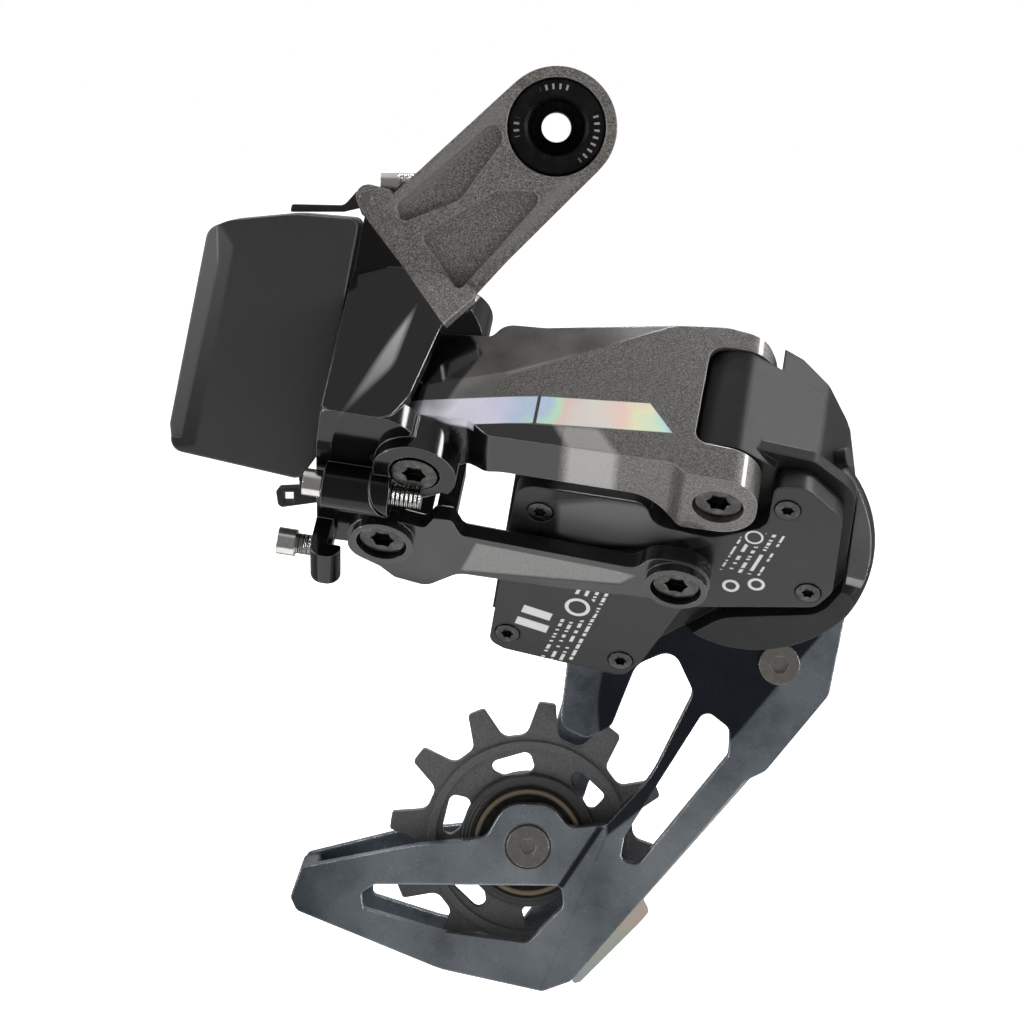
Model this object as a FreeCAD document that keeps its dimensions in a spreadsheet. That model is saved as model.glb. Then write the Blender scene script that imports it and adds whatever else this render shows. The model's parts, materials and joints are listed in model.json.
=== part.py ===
"""Rear bicycle derailleur with an electric motor module and a clip-on battery.

Millimetres, +X forward, +Y inboard (towards the wheel), +Z up. The origin lies on the axis of
the hanger bolt, in the plane where the derailleur seats against the frame's hanger.
Three working frames are used:
  side    x forward, y up, z outboard (seen from the drive side)
  link    x along the parallelogram links, y inboard and down, z along the four link pivots
  module  the link frame tilted about its x axis, square to the cover of the motor module
"""
import FreeCAD, Part
import math
import os
import Sketcher

Vector = FreeCAD.Vector
doc = FreeCAD.newDocument("rear_derailleur")

SIZES = [
    # hanger end
    ("hanger_boss_radius", 11.1), ("bolt_flange_radius", 8.95), ("bolt_flange_thick", 2.2),
    ("bolt_socket_radius", 5.3), ("bolt_bore_radius", 2.8), ("bolt_barrel_radius", 6.6),
    ("bolt_thread_radius", 5.0), ("bolt_thread_length", 8.5), ("boss_depth", 15.2),
    ("washer_thick", 1.8), ("bushing_wall", 1.2),
    ("arm_back", 3.0), ("arm_face", 17.0),
    # link pivots
    ("front_pivot_x", 28.9), ("front_pivot_y", -36.0), ("front_pivot_z", -67.3),
    ("pivot_tilt", 46.1), ("pivot_turn", 12.75), ("link_lean", 12.1),
    ("link_length", 54.6), ("pair_u", -5.3), ("pair_v", 19.0),
    ("pin_radius", 3.0), ("pin_head_radius", 4.2), ("pin_recess_radius", 4.7),
    ("barrel_radius", 8.0), ("running_gap", 0.3), ("running_fit", 0.05),
    ("yoke_bottom", 7.0), ("yoke_top", 29.4),
    ("inner_link_low", -4.6), ("inner_link_thick", 3.2), ("inner_boss_low", -6.4),
    # motor module
    ("module_tilt", 8.0), ("cover_face", 3.0), ("cover_thick", 4.7), ("gasket_thick", 0.6),
    ("module_top", 22.0), ("back_plane", -1.5),
    # cage
    ("hub_x", 37.3), ("hub_z", -76.2), ("drum_radius", 21.8), ("drum_face", 20.0),
    ("cage_axle_radius", 5.0), ("plate_thick", 3.0), ("outer_plate_y", 3.5), ("inner_plate_y", 16.0),
    ("inner_plate_thick", 2.5), ("chain_line_y", 11.0),
    ("tension_x", -5.3), ("tension_z", -138.1), ("guide_x", 27.5), ("guide_z", -72.0),
    ("pulley_teeth", 12), ("chain_pitch", 12.7), ("tooth_thick", 2.2), ("tooth_height", 2.6),
    ("roller_radius", 3.9), ("pulley_hub_radius", 10.4), ("bearing_outer", 5.9), ("bearing_bore", 2.6),
    ("shield_radius", 11.0), ("pulley_bolt_radius", 2.5), ("bolt_head_radius", 4.1),
    # battery
    ("battery_back", 2.0), ("battery_thick", 20.0),
    # screws
    ("screw_radius", 1.9), ("screw_head_radius", 2.5), ("screw_head_length", 3.4),
    ("button_radius", 1.9), ("gear_tip", 6.9), ("worm_tip", 4.9), ("worm_core", 3.6),
]

sheet = doc.addObject("Spreadsheet::Sheet", "sizes")
for row, (name, value) in enumerate(SIZES, start=1):
    sheet.set("A%d" % row, name)
    sheet.set("B%d" % row, str(value))
    sheet.setAlias("B%d" % row, name)
doc.recompute()


def size(name):
    return float(sheet.get(name))


# ---------------------------------------------------------------- frames

SIDE = FreeCAD.Placement(Vector(0, 0, 0), FreeCAD.Rotation(Vector(1, 0, 0), 90))


def link_axes():
    """Unit vectors along the links, across them and along their pivots."""
    tilt = math.radians(size("pivot_tilt"))
    turn = math.radians(size("pivot_turn"))
    lean = math.radians(size("link_lean"))
    pivot = Vector(math.sin(turn) * math.cos(tilt), math.cos(turn) * math.cos(tilt), math.sin(tilt))
    level = Vector(math.cos(turn), -math.sin(turn), 0)
    cross = pivot.cross(level)
    along = level * math.cos(lean) + cross * math.sin(lean)
    return along, pivot.cross(along), pivot


ALONG, ACROSS, PIVOT = link_axes()
FRONT_PIVOT = Vector(size("front_pivot_x"), size("front_pivot_y"), size("front_pivot_z"))
LINK = FreeCAD.Placement(FRONT_PIVOT, FreeCAD.Rotation(ALONG, ACROSS, PIVOT, "XYZ"))
LINK_FACE = FreeCAD.Placement(FRONT_PIVOT, FreeCAD.Rotation(ALONG, PIVOT, -ACROSS, "XYZ"))
MODULE = LINK.multiply(FreeCAD.Placement(
    Vector(0, 0, 0), FreeCAD.Rotation(Vector(1, 0, 0), -size("module_tilt"))))
OUTER_REAR = (-size("link_length"), 0.0)
INNER_FRONT = (size("pair_u"), size("pair_v"))
INNER_REAR = (size("pair_u") - size("link_length"), size("pair_v"))


def moved(frame, x, y, z, turn=None):
    """The frame shifted to a point of its own, and turned there when a rotation is given."""
    return frame.multiply(FreeCAD.Placement(Vector(x, y, z), turn or FreeCAD.Rotation()))


ALONG_X = FreeCAD.Rotation(Vector(0, 1, 0), 90)

# ---------------------------------------------------------------- building blocks

pieces = []
names = {}


def fresh(name):
    """A document name that has not been used yet."""
    names[name] = names.get(name, 0) + 1
    return name if names[name] == 1 else "%s_%d" % (name, names[name])


def bind(target, prop, value):
    """Bind a property to the sheet when the value is an expression, else set it."""
    if isinstance(value, str):
        target.setExpression(prop, value)
    else:
        setattr(target, prop, value)


def piece(label, shape_object):
    """Keep an object as one named piece of the derailleur."""
    shape_object.Label = label
    pieces.append(shape_object)
    return shape_object


def cylinder(frame, x, y, z, radius, height, turn=None):
    made = doc.addObject("Part::Cylinder", fresh("cylinder"))
    bind(made, "Radius", radius)
    bind(made, "Height", height)
    made.Placement = moved(frame, x, y, z, turn)
    return made


def box(frame, x, y, z, length, width, height, turn=None):
    made = doc.addObject("Part::Box", fresh("box"))
    bind(made, "Length", length)
    bind(made, "Width", width)
    bind(made, "Height", height)
    made.Placement = moved(frame, x, y, z, turn)
    return made


def joined(*objects):
    made = doc.addObject("Part::MultiFuse", fresh("joined"))
    made.Shapes = list(objects)
    return made


def cut(base, *tools):
    made = doc.addObject("Part::Cut", fresh("cut"))
    made.Base = base
    made.Tool = tools[0] if len(tools) == 1 else joined(*tools)
    return made


def common(first, second):
    made = doc.addObject("Part::MultiCommon", fresh("common"))
    made.Shapes = [first, second]
    return made


def group(*objects):
    """Several separate solids kept as one node."""
    made = doc.addObject("Part::Compound", fresh("group"))
    made.Links = list(objects)
    return made


def unit(vector):
    return vector.multiply(1.0 / vector.Length)


def rounded(corners):
    """Lines and arcs round a closed outline of (x, y) or (x, y, corner radius)."""
    stops = []
    count = len(corners)
    for index, corner in enumerate(corners):
        here = Vector(corner[0], corner[1], 0)
        before = Vector(*corners[index - 1][:2], 0)
        after = Vector(*corners[(index + 1) % count][:2], 0)
        to_before = unit(before - here)
        to_after = unit(after - here)
        angle = to_before.getAngle(to_after)
        radius = corner[2] if len(corner) > 2 else 0
        if radius <= 0 or angle > math.pi - 0.01:
            stops.append((here, None, here))
            continue
        reach = radius / math.tan(angle / 2)
        centre = here + unit(to_before + to_after) * (radius / math.sin(angle / 2))
        stops.append((here + to_before * reach, (centre, radius), here + to_after * reach))
    edges = []
    for index, (start, arc, end) in enumerate(stops):
        if arc:
            centre, radius = arc
            first = math.atan2(start.y - centre.y, start.x - centre.x)
            last = math.atan2(end.y - centre.y, end.x - centre.x)
            if (last - first) % (2 * math.pi) > math.pi:
                first, last = last, first
            circle = Part.Circle(centre, Vector(0, 0, 1), radius)
            edges.append(Part.ArcOfCircle(circle, first, first + (last - first) % (2 * math.pi)))
        following = stops[(index + 1) % count][0]
        if (following - end).Length > 1e-6:
            edges.append(Part.LineSegment(end, following))
    return edges


def inset(corners, distance):
    """The outline moved inwards by a wall's thickness (outward for a negative distance)."""
    count = len(corners)
    area = sum(corners[i][0] * corners[(i + 1) % count][1] - corners[(i + 1) % count][0] * corners[i][1]
               for i in range(count))
    side = 1 if area > 0 else -1
    result = []
    for index, corner in enumerate(corners):
        here = Vector(corner[0], corner[1], 0)
        into = unit(here - Vector(*corners[index - 1][:2], 0))
        out = unit(Vector(*corners[(index + 1) % count][:2], 0) - here)
        normal_in = Vector(-into.y, into.x, 0) * side
        normal_out = Vector(-out.y, out.x, 0) * side
        bisector = unit(normal_in + normal_out)
        shifted = here + bisector * (distance / max(bisector.dot(normal_in), 0.35))
        radius = corner[2] if len(corner) > 2 else 0
        turn = into.cross(out).z * side
        radius = max(radius - distance, 0.4) if turn > 0 else radius + distance
        result.append((shifted.x, shifted.y, radius if len(corner) > 2 else 0))
    return result


def plane_of(body, role):
    for feature in body.Origin.OriginFeatures:
        if feature.Role == role:
            return feature
    raise RuntimeError("no plane " + role)


def sketch_in(body, start):
    sketch = body.newObject("Sketcher::SketchObject", fresh("sketch"))
    sketch.AttachmentSupport = (plane_of(body, "XY_Plane"), [""])
    sketch.MapMode = "FlatFace"
    bind_offset = start if isinstance(start, str) else "%.4f" % start
    sketch.setExpression("AttachmentOffset.Base.z", bind_offset)
    return sketch


def add_circle(sketch, x, y, radius):
    """A circle whose radius follows the sheet."""
    value = radius
    if isinstance(radius, str):
        value = float(sheet.evalExpression(radius.replace("sizes.", "")))
    index = sketch.addGeometry(Part.Circle(Vector(x, y, 0), Vector(0, 0, 1), value))
    constraint = sketch.addConstraint(Sketcher.Constraint("Radius", index, value))
    if isinstance(radius, str):
        sketch.setExpression("Constraints[%d]" % constraint, radius)


def prism(frame, corners, start, length, holes=(), circles=()):
    """A flat outline, with its openings, raised to a length along the frame's z axis."""
    body = doc.addObject("PartDesign::Body", fresh("body"))
    body.Placement = frame
    sketch = sketch_in(body, start)
    for outline in [corners] + list(holes):
        for edge in rounded(outline):
            sketch.addGeometry(edge)
    for x, y, radius in circles:
        add_circle(sketch, x, y, radius)
    pad = body.newObject("PartDesign::Pad", fresh("pad"))
    pad.Profile = sketch
    bind(pad, "Length", length)
    sketch.Visibility = False
    return body


def ring(frame, x, y, start, outer, inner, length):
    """A sleeve or washer."""
    body = doc.addObject("PartDesign::Body", fresh("body"))
    body.Placement = moved(frame, x, y, 0)
    sketch = sketch_in(body, start)
    add_circle(sketch, 0, 0, outer)
    add_circle(sketch, 0, 0, inner)
    pad = body.newObject("PartDesign::Pad", fresh("pad"))
    pad.Profile = sketch
    bind(pad, "Length", length)
    return body


def turned(frame, profile):
    """A body of revolution: a profile of (radius, height) turned about the frame's z axis."""
    body = doc.addObject("PartDesign::Body", fresh("body"))
    body.Placement = frame
    sketch = body.newObject("Sketcher::SketchObject", fresh("sketch"))
    sketch.AttachmentSupport = (plane_of(body, "XZ_Plane"), [""])
    sketch.MapMode = "FlatFace"
    for edge in rounded(profile):
        sketch.addGeometry(edge)
    revolution = body.newObject("PartDesign::Revolution", fresh("revolution"))
    revolution.Profile = sketch
    revolution.ReferenceAxis = (sketch, ["V_Axis"])
    revolution.Angle = 360
    return body


def polar(count, inner, outer, phase=0.0):
    """A star outline: a six-lobed or six-sided drive, or a hexagon when both radii suit it."""
    points = []
    for index in range(count):
        angle = 2 * math.pi * index / count + phase
        points.append((outer * math.cos(angle), outer * math.sin(angle)))
        if inner:
            middle = angle + math.pi / count
            points.append((inner * math.cos(middle), inner * math.sin(middle)))
    return points


def hexagon_socket(frame, x, y, z, across, depth):
    return prism(moved(frame, x, y, 0), polar(6, 0, across / 2), z, depth)


def star_socket(frame, x, y, z, radius, depth):
    return prism(moved(frame, x, y, 0), polar(6, radius * 0.76, radius), z, depth)


# ---------------------------------------------------------------- hanger end


def make_hanger_bolt():
    face = size("boss_depth") - 0.2
    neck = face - size("bolt_flange_thick")
    barrel = size("bolt_barrel_radius")
    thread = size("bolt_thread_radius")
    bore = size("bolt_bore_radius")
    socket = size("bolt_socket_radius")
    end = -size("bolt_thread_length")
    profile = [(bore, end), (thread - 0.5, end), (thread, end + 0.5), (thread, 0), (barrel, 0.3),
               (barrel, neck), (size("bolt_flange_radius"), neck), (size("bolt_flange_radius"), face - 0.4),
               (size("bolt_flange_radius") - 0.4, face), (socket + 0.6, face), (socket, face - 0.6),
               (socket - 0.7, face - 5.0), (bore, face - 6.5)]
    piece("hanger_bolt", turned(SIDE, profile))
    piece("hanger_bushing", ring(SIDE, 0, 0, "sizes.washer_thick + 0.2",
                                 "sizes.bolt_barrel_radius + sizes.bushing_wall",
                                 "sizes.bolt_barrel_radius + sizes.running_fit", neck - 2.4))
    arm = [(-13.6, -13.2, 1), (-13.6, -7.0, 1), (-6, 0, 0), (0, -6, 0), (-10.4, -13.2, 1)]
    post = [(-13.6, -13.2, 0.5), (-13.6, -8.2, 0.5), (-11.4, -8.2, 0.5), (-11.4, -13.2, 0.5)]
    washer = joined(cylinder(SIDE, 0, 0, 0, "sizes.hanger_boss_radius", "sizes.washer_thick - 0.1"),
                    prism(SIDE, arm, 0, "sizes.washer_thick - 0.1"), prism(SIDE, post, 0, 11.0))
    hole = cylinder(SIDE, 0, 0, -1, "sizes.bolt_barrel_radius + 0.1", 5)
    piece("stop_washer", cut(washer, hole))


LEG_FLOOR = -1.1
LATCH_SPOT = (-35.0, -12.9)
BATTERY_OUTLINE = [(-70.9, -54.0, 2.5), (-63.6, -18.4, 3), (-59.6, -16.9, 3), (-47.7, -15.8, 20),
                   (-35.9, -16.8, 1.5), (-44.4, -60.6, 2), (-47.0, -64.2, 2), (-70.4, -58.8, 2.5)]
NOSE_SPOT = (-46.4, -64.6)
CATCH_OUTLINE = [(-51.9, -66.5, 0.6), (-47.6, -66.3, 0.4), (-47.4, -64.6), (-45.4, -64.6), (-43.2, -61.4, 0.4),
                 (-41.0, -61.6, 0.4), (-42.6, -68.8, 0.6), (-51.4, -70.0, 1)]
B_SCREW_SPOT = (-32.6, -10.4, 8.0)
HIGH_SCREW_SPOT = (-74.6, 6.1, -4.5)
LOW_SCREW_SPOT = (-79.6, 25.4, -4.6)
ARM_OUTLINE = [(-7.8, 7.9), (-31.0, -13.2, 4), (-35.0, -15.2, 2), (-43.6, -60.6, 2), (-33.0, -57.0, 3),
               (-26.6, -50.0, 4), (-20.6, -37.0, 5), (-8.9, -24.4, 8), (7.8, -7.9), (2.0, 0.0)]
WALL_OUTLINE = [(-73, LEG_FLOOR, 3), (-60, LEG_FLOOR, 4), (-57.2, 5, 6), (-54.4, 22, 8), (-48.5, 31.5, 2),
                (-62, 36, 4), (-73, 30, 4)]
UPPER_POCKET = [(-29.5, -14.2, 1.2), (-11.5, 1.2, 1.5), (-9.4, -2.0, 2), (-17.5, -13.2, 3), (-28.5, -17.5, 1.2)]
LOWER_POCKET = [(-25.0, -20.0, 1.2), (-11.0, -11.5, 3), (-1.5, -11.8, 1.5), (-10.0, -21.5, 2),
                (-18.0, -30.0, 1.2)]


def knuckle_solid():
    """Hanger boss, arm, and the leg that carries the rear ends of both links."""
    rear_u, rear_v = OUTER_REAR
    low_u, low_v = INNER_REAR
    boss = cylinder(SIDE, 0, 0, size("washer_thick"), "sizes.hanger_boss_radius",
                    "sizes.boss_depth - sizes.washer_thick")
    arm = prism(SIDE, ARM_OUTLINE, "sizes.arm_back", "sizes.arm_face - sizes.arm_back")
    floor = [(-73, -11.4, 3), (rear_u, -11.4, 8), (rear_u + 2, 7.6), (low_u + 8.2, low_v, 4),
             (low_u + 4, 26.5, 4), (-73, 27.5, 3)]
    leg = prism(LINK, floor, LEG_FLOOR, 3.7 - LEG_FLOOR)
    web = prism(LINK, [(-73, -11.4, 3), (-63.2, -11.4, 1), (-63.2, 8, 3), (-66, 27.0, 3), (-73, 27.5, 3)],
                LEG_FLOOR, 30)
    wall = prism(LINK_FACE, WALL_OUTLINE, "sizes.barrel_radius + 0.5", 3.0)
    lower_ear = cylinder(LINK, rear_u, rear_v, -3.6, "sizes.barrel_radius - 0.4", 7.3)
    ear_face = box(SIDE, -60, -80, 1, 60, 80, 15.9)
    upper_ear = common(cylinder(LINK, rear_u, rear_v, 26.4, "sizes.barrel_radius", 8.5), ear_face)
    boss_low = cylinder(LINK, low_u, low_v, LEG_FLOOR, "sizes.barrel_radius", 13)
    high_boss = cylinder(LINK, HIGH_SCREW_SPOT[0] + 3.8, *HIGH_SCREW_SPOT[1:], 4.3, 12.2, ALONG_X)
    low_lug = prism(LINK_FACE, [(-73, 3, 1), (-73, -9.8, 2.5), (-67.3, -9.8, 2.5), (-67.3, -6.8, 0.5),
                                (-69.9, -6.8, 0.3), (-69.9, 3, 1)], -29.6, 8.6)
    latch_ears = [prism(SIDE, [(-37.0, -12.4, 2), (-35.6, -10.2, 2), (-30.0, -11.6, 1), (-31.0, -17.0),
                               (-35.6, -16.2, 1)], start, depth) for start, depth in ((10.6, 1.6), (16.0, 1.0))]
    toe_outline = [(-43.6, -46, 1), (-30, -40, 1), (-24.5, -50, 2), (-32, -60, 2), (-43.9, -60.6, 2)]
    toe = prism(SIDE, toe_outline, 8, 16)
    lugs = [lower_ear, upper_ear, boss_low, high_boss, low_lug] + latch_ears
    return joined(boss, arm, leg, web, wall, toe, *lugs)


def knuckle_cuts():
    """Room for the outer link's rear lug over its whole swing, the bores and the arm's pockets."""
    rear_u, rear_v = OUTER_REAR
    low_u, low_v = INNER_REAR
    reach = size("barrel_radius") + 0.4
    sweep = [(rear_u - 1, -reach), (rear_u + 70, -reach), (rear_u + 70, 100), (rear_u + 43, 92),
             (rear_u - 7.2, 4.2), (rear_u - 8.4, 0)]
    swing = prism(LINK, sweep, -14, 56)
    keep_low = cylinder(LINK, rear_u, rear_v, -14, "sizes.barrel_radius", 17.7)
    keep_high = cylinder(LINK, rear_u, rear_v, 26.4, "sizes.barrel_radius + 0.1", 20)
    room = cut(swing, keep_low, keep_high)
    room_lug = cylinder(LINK, rear_u, rear_v, 3.7, reach, 22.7)
    pin = cylinder(LINK, rear_u, rear_v, -6, "sizes.pin_radius + 0.02", 38.5)
    recess = cylinder(LINK, rear_u, rear_v, -6, "sizes.pin_recess_radius", 4.4)
    pin_low = cylinder(LINK, low_u, low_v, -6, "sizes.pin_radius + 0.02", 14.5)
    bore = cylinder(SIDE, 0, 0, -2, "sizes.bolt_barrel_radius + sizes.bushing_wall + 0.01", 24)
    seat = cylinder(SIDE, 0, 0, size("boss_depth") - 0.2 - size("bolt_flange_thick") - 0.02,
                    "sizes.bolt_flange_radius + 0.15", 6)
    pockets = [prism(SIDE, UPPER_POCKET, "sizes.arm_face - 1.6", 8),
               prism(SIDE, LOWER_POCKET, "sizes.arm_face - 1.6", 8)]
    thread = "sizes.screw_radius + 0.05"
    screws = [cylinder(SIDE, *B_SCREW_SPOT, thread, 24, ALONG_X),
              cylinder(LINK, *HIGH_SCREW_SPOT, thread, 30, ALONG_X),
              cylinder(LINK, *LOW_SCREW_SPOT, thread, 14, ALONG_X)]
    head_room = cylinder(SIDE, -40, *B_SCREW_SPOT[1:], "sizes.screw_head_radius + 0.4", 12.6, ALONG_X)
    post_room = prism(SIDE, [(-16.2, -16, 1), (-16.2, -5.5, 1), (-9.2, -5.5, 1), (-9.2, -16, 1)], 0, 11.6)
    inner_sweep = prism(LINK, [(-69.4, 12.2, 3), (0, 12.2), (0, 110), (-69.4, 110)], -6.7, 6.7 + LEG_FLOOR)
    latch_bore = cylinder(SIDE, *LATCH_SPOT, 10, 1.02, 8)
    battery_room = prism(SIDE, inset(BATTERY_OUTLINE, -0.4), "sizes.battery_back - 0.4",
                         "sizes.battery_thick + 20")
    catch_room = prism(SIDE, inset(CATCH_OUTLINE, -0.03), 9.97, 7.06)
    bores = [latch_bore, pin, recess, pin_low, bore, seat]
    rooms = [battery_room, catch_room, room, room_lug, head_room, post_room, inner_sweep]
    return bores + rooms + screws + pockets


def make_b_knuckle():
    piece("b_knuckle", cut(knuckle_solid(), *knuckle_cuts()))


# ---------------------------------------------------------------- screws and pins


def socket_screw(label, frame, x, y, z, reach):
    """A cylinder-head adjusting screw whose head starts at the point and whose tip is reach away."""
    head_length = size("screw_head_length")
    head = cylinder(frame, x, y, z, "sizes.screw_head_radius", "sizes.screw_head_length", ALONG_X)
    shank = cylinder(frame, x, y, z, "sizes.screw_radius", head_length + reach, ALONG_X)
    drive = prism(moved(frame, x, y, z, ALONG_X), polar(6, 0, 1.5), -0.1, 2.0)
    return piece(label, cut(joined(head, shank), drive))


def make_adjusting_screws():
    socket_screw("b_adjust_screw", SIDE, *B_SCREW_SPOT, 15.4)
    socket_screw("high_limit_screw", LINK, *HIGH_SCREW_SPOT, 18.2)
    socket_screw("low_limit_screw", LINK, *LOW_SCREW_SPOT, 6.8)


def pivot_pin(label, u, v, head, tip):
    """A headed pin with a six-lobed drive, its head towards the ground."""
    head_disc = cylinder(LINK, u, v, head, "sizes.pin_head_radius", 2.2)
    shaft = cylinder(LINK, u, v, head, "sizes.pin_radius", tip - head)
    drive = star_socket(LINK, u, v, head - 0.1, 2.3, 1.7)
    drive.Placement = moved(LINK, u, v, 0)
    return piece(label, cut(joined(head_disc, shaft), drive))


def make_pins():
    pivot_pin("outer_pin_rear", *OUTER_REAR, -3.8, 31.5)
    pivot_pin("outer_pin_front", 0.0, 0.0, 0.4, 33.5)
    pivot_pin("inner_pin_rear", *INNER_REAR, -5.4, 8.0)
    pivot_pin("inner_pin_front", *INNER_FRONT, -5.4, 14.0)


# ---------------------------------------------------------------- links


def make_outer_link():
    """A deep one-sided link: plain lug at the rear, clevis round the module's barrel at the front."""
    rear_u = OUTER_REAR[0]
    plan = [(rear_u - 7.0, -7.2, 6.9), (-40, -8.2, 40), (-8, -8.4, 20), (7.0, -8.2, 6.8), (7.0, 7.0, 6.8),
            (-7.5, 7.4, 5), (-13.5, 2.2, 8), (-42, 1.8, 12), (-50, 7.2, 6), (rear_u - 7.0, 7.2, 6.9)]
    face = [(rear_u - 9, 4.1), (-46.0, 4.1, 2), (-42.4, 1.2, 3), (-9, 1.4, 5), (-6.5, -0.6, 3), (9.5, -0.6),
            (9.5, 29.4, 3), (4.6, 33.2, 3), (-3.0, 34.3, 6), (-19, 32.0, 12), (-36, 29.6, 12), (-43.6, 29.8, 3),
            (-45.6, 26.0, 1.5), (rear_u - 9, 26.0)]
    blank = common(prism(LINK, plan, -4, 44), prism(LINK_FACE, face, -30, 60))
    low = size("yoke_bottom")
    high = size("yoke_top") + size("running_gap")
    yoke = [(-6.0, low, 2.5), (14, low - 1.0), (14, high - 0.8), (-5.6, high, 3)]
    opening = prism(LINK_FACE, yoke, -20, 40)
    round_room = cylinder(LINK, 0, 0, low, "sizes.barrel_radius + 0.6", high - low)
    rear_bore = cylinder(LINK, rear_u, 0, 0, "sizes.pin_radius + 1.22", 30)
    front_bore = cylinder(LINK, 0, 0, -4, "sizes.pin_radius + 0.02", 42)
    recess = cylinder(LINK, 0, 0, -4, "sizes.pin_recess_radius", 6.7)
    hollow = prism(LINK_FACE, [(-43, 8, 3), (-14, 8, 3), (-12, 27, 3), (-40, 25, 3)], 1.8, 2.6)
    crease = FreeCAD.Rotation(Vector(0, 0, 1), 31).multiply(FreeCAD.Rotation(Vector(1, 0, 0), -14))
    facet = box(LINK_FACE, -54, 8.0, 8.3, 60, 40, 10, crease)
    piece("outer_link", cut(blank, opening, round_room, rear_bore, front_bore, recess, facet))
    sleeves = [ring(LINK, rear_u, 0, start, "sizes.pin_radius + 1.2", "sizes.pin_radius + sizes.running_fit", 9)
               for start in (4.3, 16.8)]
    piece("outer_link_bushings", group(*sleeves))


def make_inner_link():
    low_u, low_v = INNER_REAR
    plan = [(low_u - 6.6, low_v + 6.4, 4.5), (low_u - 6.6, low_v - 6.6, 6.5), (-52.2, 14.6, 1),
            (-50.6, 11.2, 1), (-47.3, 11.0, 1), (-45.5, 15.2, 1.5), (-12.6, 17.0, 3), (-11.2, 12.8, 4),
            (0.6, 12.6, 6), (0.9, 25.4, 6), (-9, 25.2, 4), (-27, 26.6, 20), (-45.6, 27.0, 4),
            (-51.5, 32.6, 3), (-57.6, 31.4, 2), (-60.4, 28.6, 1.5)]
    plate = prism(LINK, plan, "sizes.inner_link_low", "sizes.inner_link_thick")
    low = size("inner_boss_low")
    boss = cylinder(LINK, *INNER_FRONT, low, "sizes.barrel_radius - 2.2", 4)
    rear_boss = cylinder(LINK, low_u, low_v, low, "sizes.barrel_radius - 2.2", 4)
    web = prism(LINK, [(-50.6, 11.2, 0.8), (-50.6, 15.4), (-46.9, 15.4), (-46.9, 11.2, 0.8)],
                "sizes.inner_link_low", 14)
    rear_bore = cylinder(LINK, low_u, low_v, low - 1, "sizes.pin_radius + 0.62", 10)
    front_bore = cylinder(LINK, *INNER_FRONT, low - 1, "sizes.pin_radius + sizes.running_gap", 10)
    recesses = [cylinder(LINK, *pivot, low - 1, "sizes.pin_recess_radius", 4.3)
                for pivot in (INNER_FRONT, INNER_REAR)]
    piece("inner_link", cut(joined(plate, web, boss, rear_boss), rear_bore, front_bore, *recesses))
    piece("inner_link_bushing", ring(LINK, low_u, low_v, -3.0, "sizes.pin_radius + 0.6",
                                     "sizes.pin_radius + sizes.running_fit", 1.5))


# ---------------------------------------------------------------- motor module

COVER_OUTLINE = [(-36.6, 5.6, 4), (-39.2, 48.6, 2.5), (-36.2, 50.2, 2), (-13.0, 52.8, 3), (-9.5, 47.0, 3),
                 (-3.6, 31.0, 3), (20.6, 25.6, 3), (23.2, 21.0, 4), (22.6, 2.0, 6), (15.0, -4.6, 4),
                 (9.5, -3.6, 2), (9.4, 6.8, 4), (0.0, 11.8, 6), (-11.0, 10.8, 4), (-13.0, 5.6, 3)]
CASE_OUTLINE = [(-37.2, 3.2, 4), (-39.8, 49.2, 2.5), (-36.5, 51.0, 2), (-12.6, 53.6, 3), (-7.0, 46.0, 5),
                (4, 34.0, 8), (22, 29, 6), (25, 22, 4), (24.4, 0, 6), (16, -6.2, 4), (3, -7.4, 3),
                (-9.5, 3.2, 3)]
BARREL_OUTLINE = [(-8, -8, 7.9), (2.0, -7.9, 4), (17.0, 0.9, 4), (22.0, 9.0, 8), (25.0, 24, 6), (22, 44, 4),
                  (-8, 40, 3)]
CROWN_OUTLINE = [(7.6, -4.6, 0.4), (17.0, 1.0, 3), (21.8, 8.6, 6), (22.5, 18, 3), (8, 20, 3)]
CROWN_PROFILE = [(7.0, 28.4), (7.0, 34.4, 0.6), (11.5, 34.4, 2), (22.6, 29.2), (22.6, 28.4)]
CAVITY_OUTLINE = [(-34.6, 6.2, 2), (-37.0, 46.8, 1.5), (-34.5, 48.4, 1), (-14.0, 50.6, 2), (-9.4, 43.0, 3),
                  (-9.4, 14.0, 3), (-11.5, 6.2, 2)]
EVERYWHERE = [(-60, -60), (80, -60), (80, 90), (-60, 90)]
SCREW_SPOTS = [(-31.9, 11.8), (12.5, 1.6), (18.8, 22.0), (-35.8, 45.7), (-13.8, 48.4)]
WORM_SPOT = (9.6, 18.5)
BUTTON_SPOT = (16.4, 9.1, 19.6)
BUTTON_DEPTH = (15.2, 9.8, 19.6)
BUTTON_TURN = FreeCAD.Rotation(Vector(0, 0, 1), Vector(0.87, -0.5, 0))


def in_front_of_wheel(solid):
    """Keep only what lies outboard of the plane in which the cage swings."""
    keep = box(SIDE, -60, -160, size("back_plane"), 180, 200, 90)
    return common(solid, keep)


def ear_room():
    """Clearance for the outer link's two ears, above and below the barrel."""
    low = cylinder(LINK, 0, 0, -12, "sizes.barrel_radius + 0.9", 12 + size("yoke_bottom") + 0.3)
    high = cylinder(LINK, 0, 0, size("yoke_top"), "sizes.barrel_radius + 0.9", 20)
    return [low, high]


def seam_height():
    return size("cover_face") + size("cover_thick") + size("gasket_thick")


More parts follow.
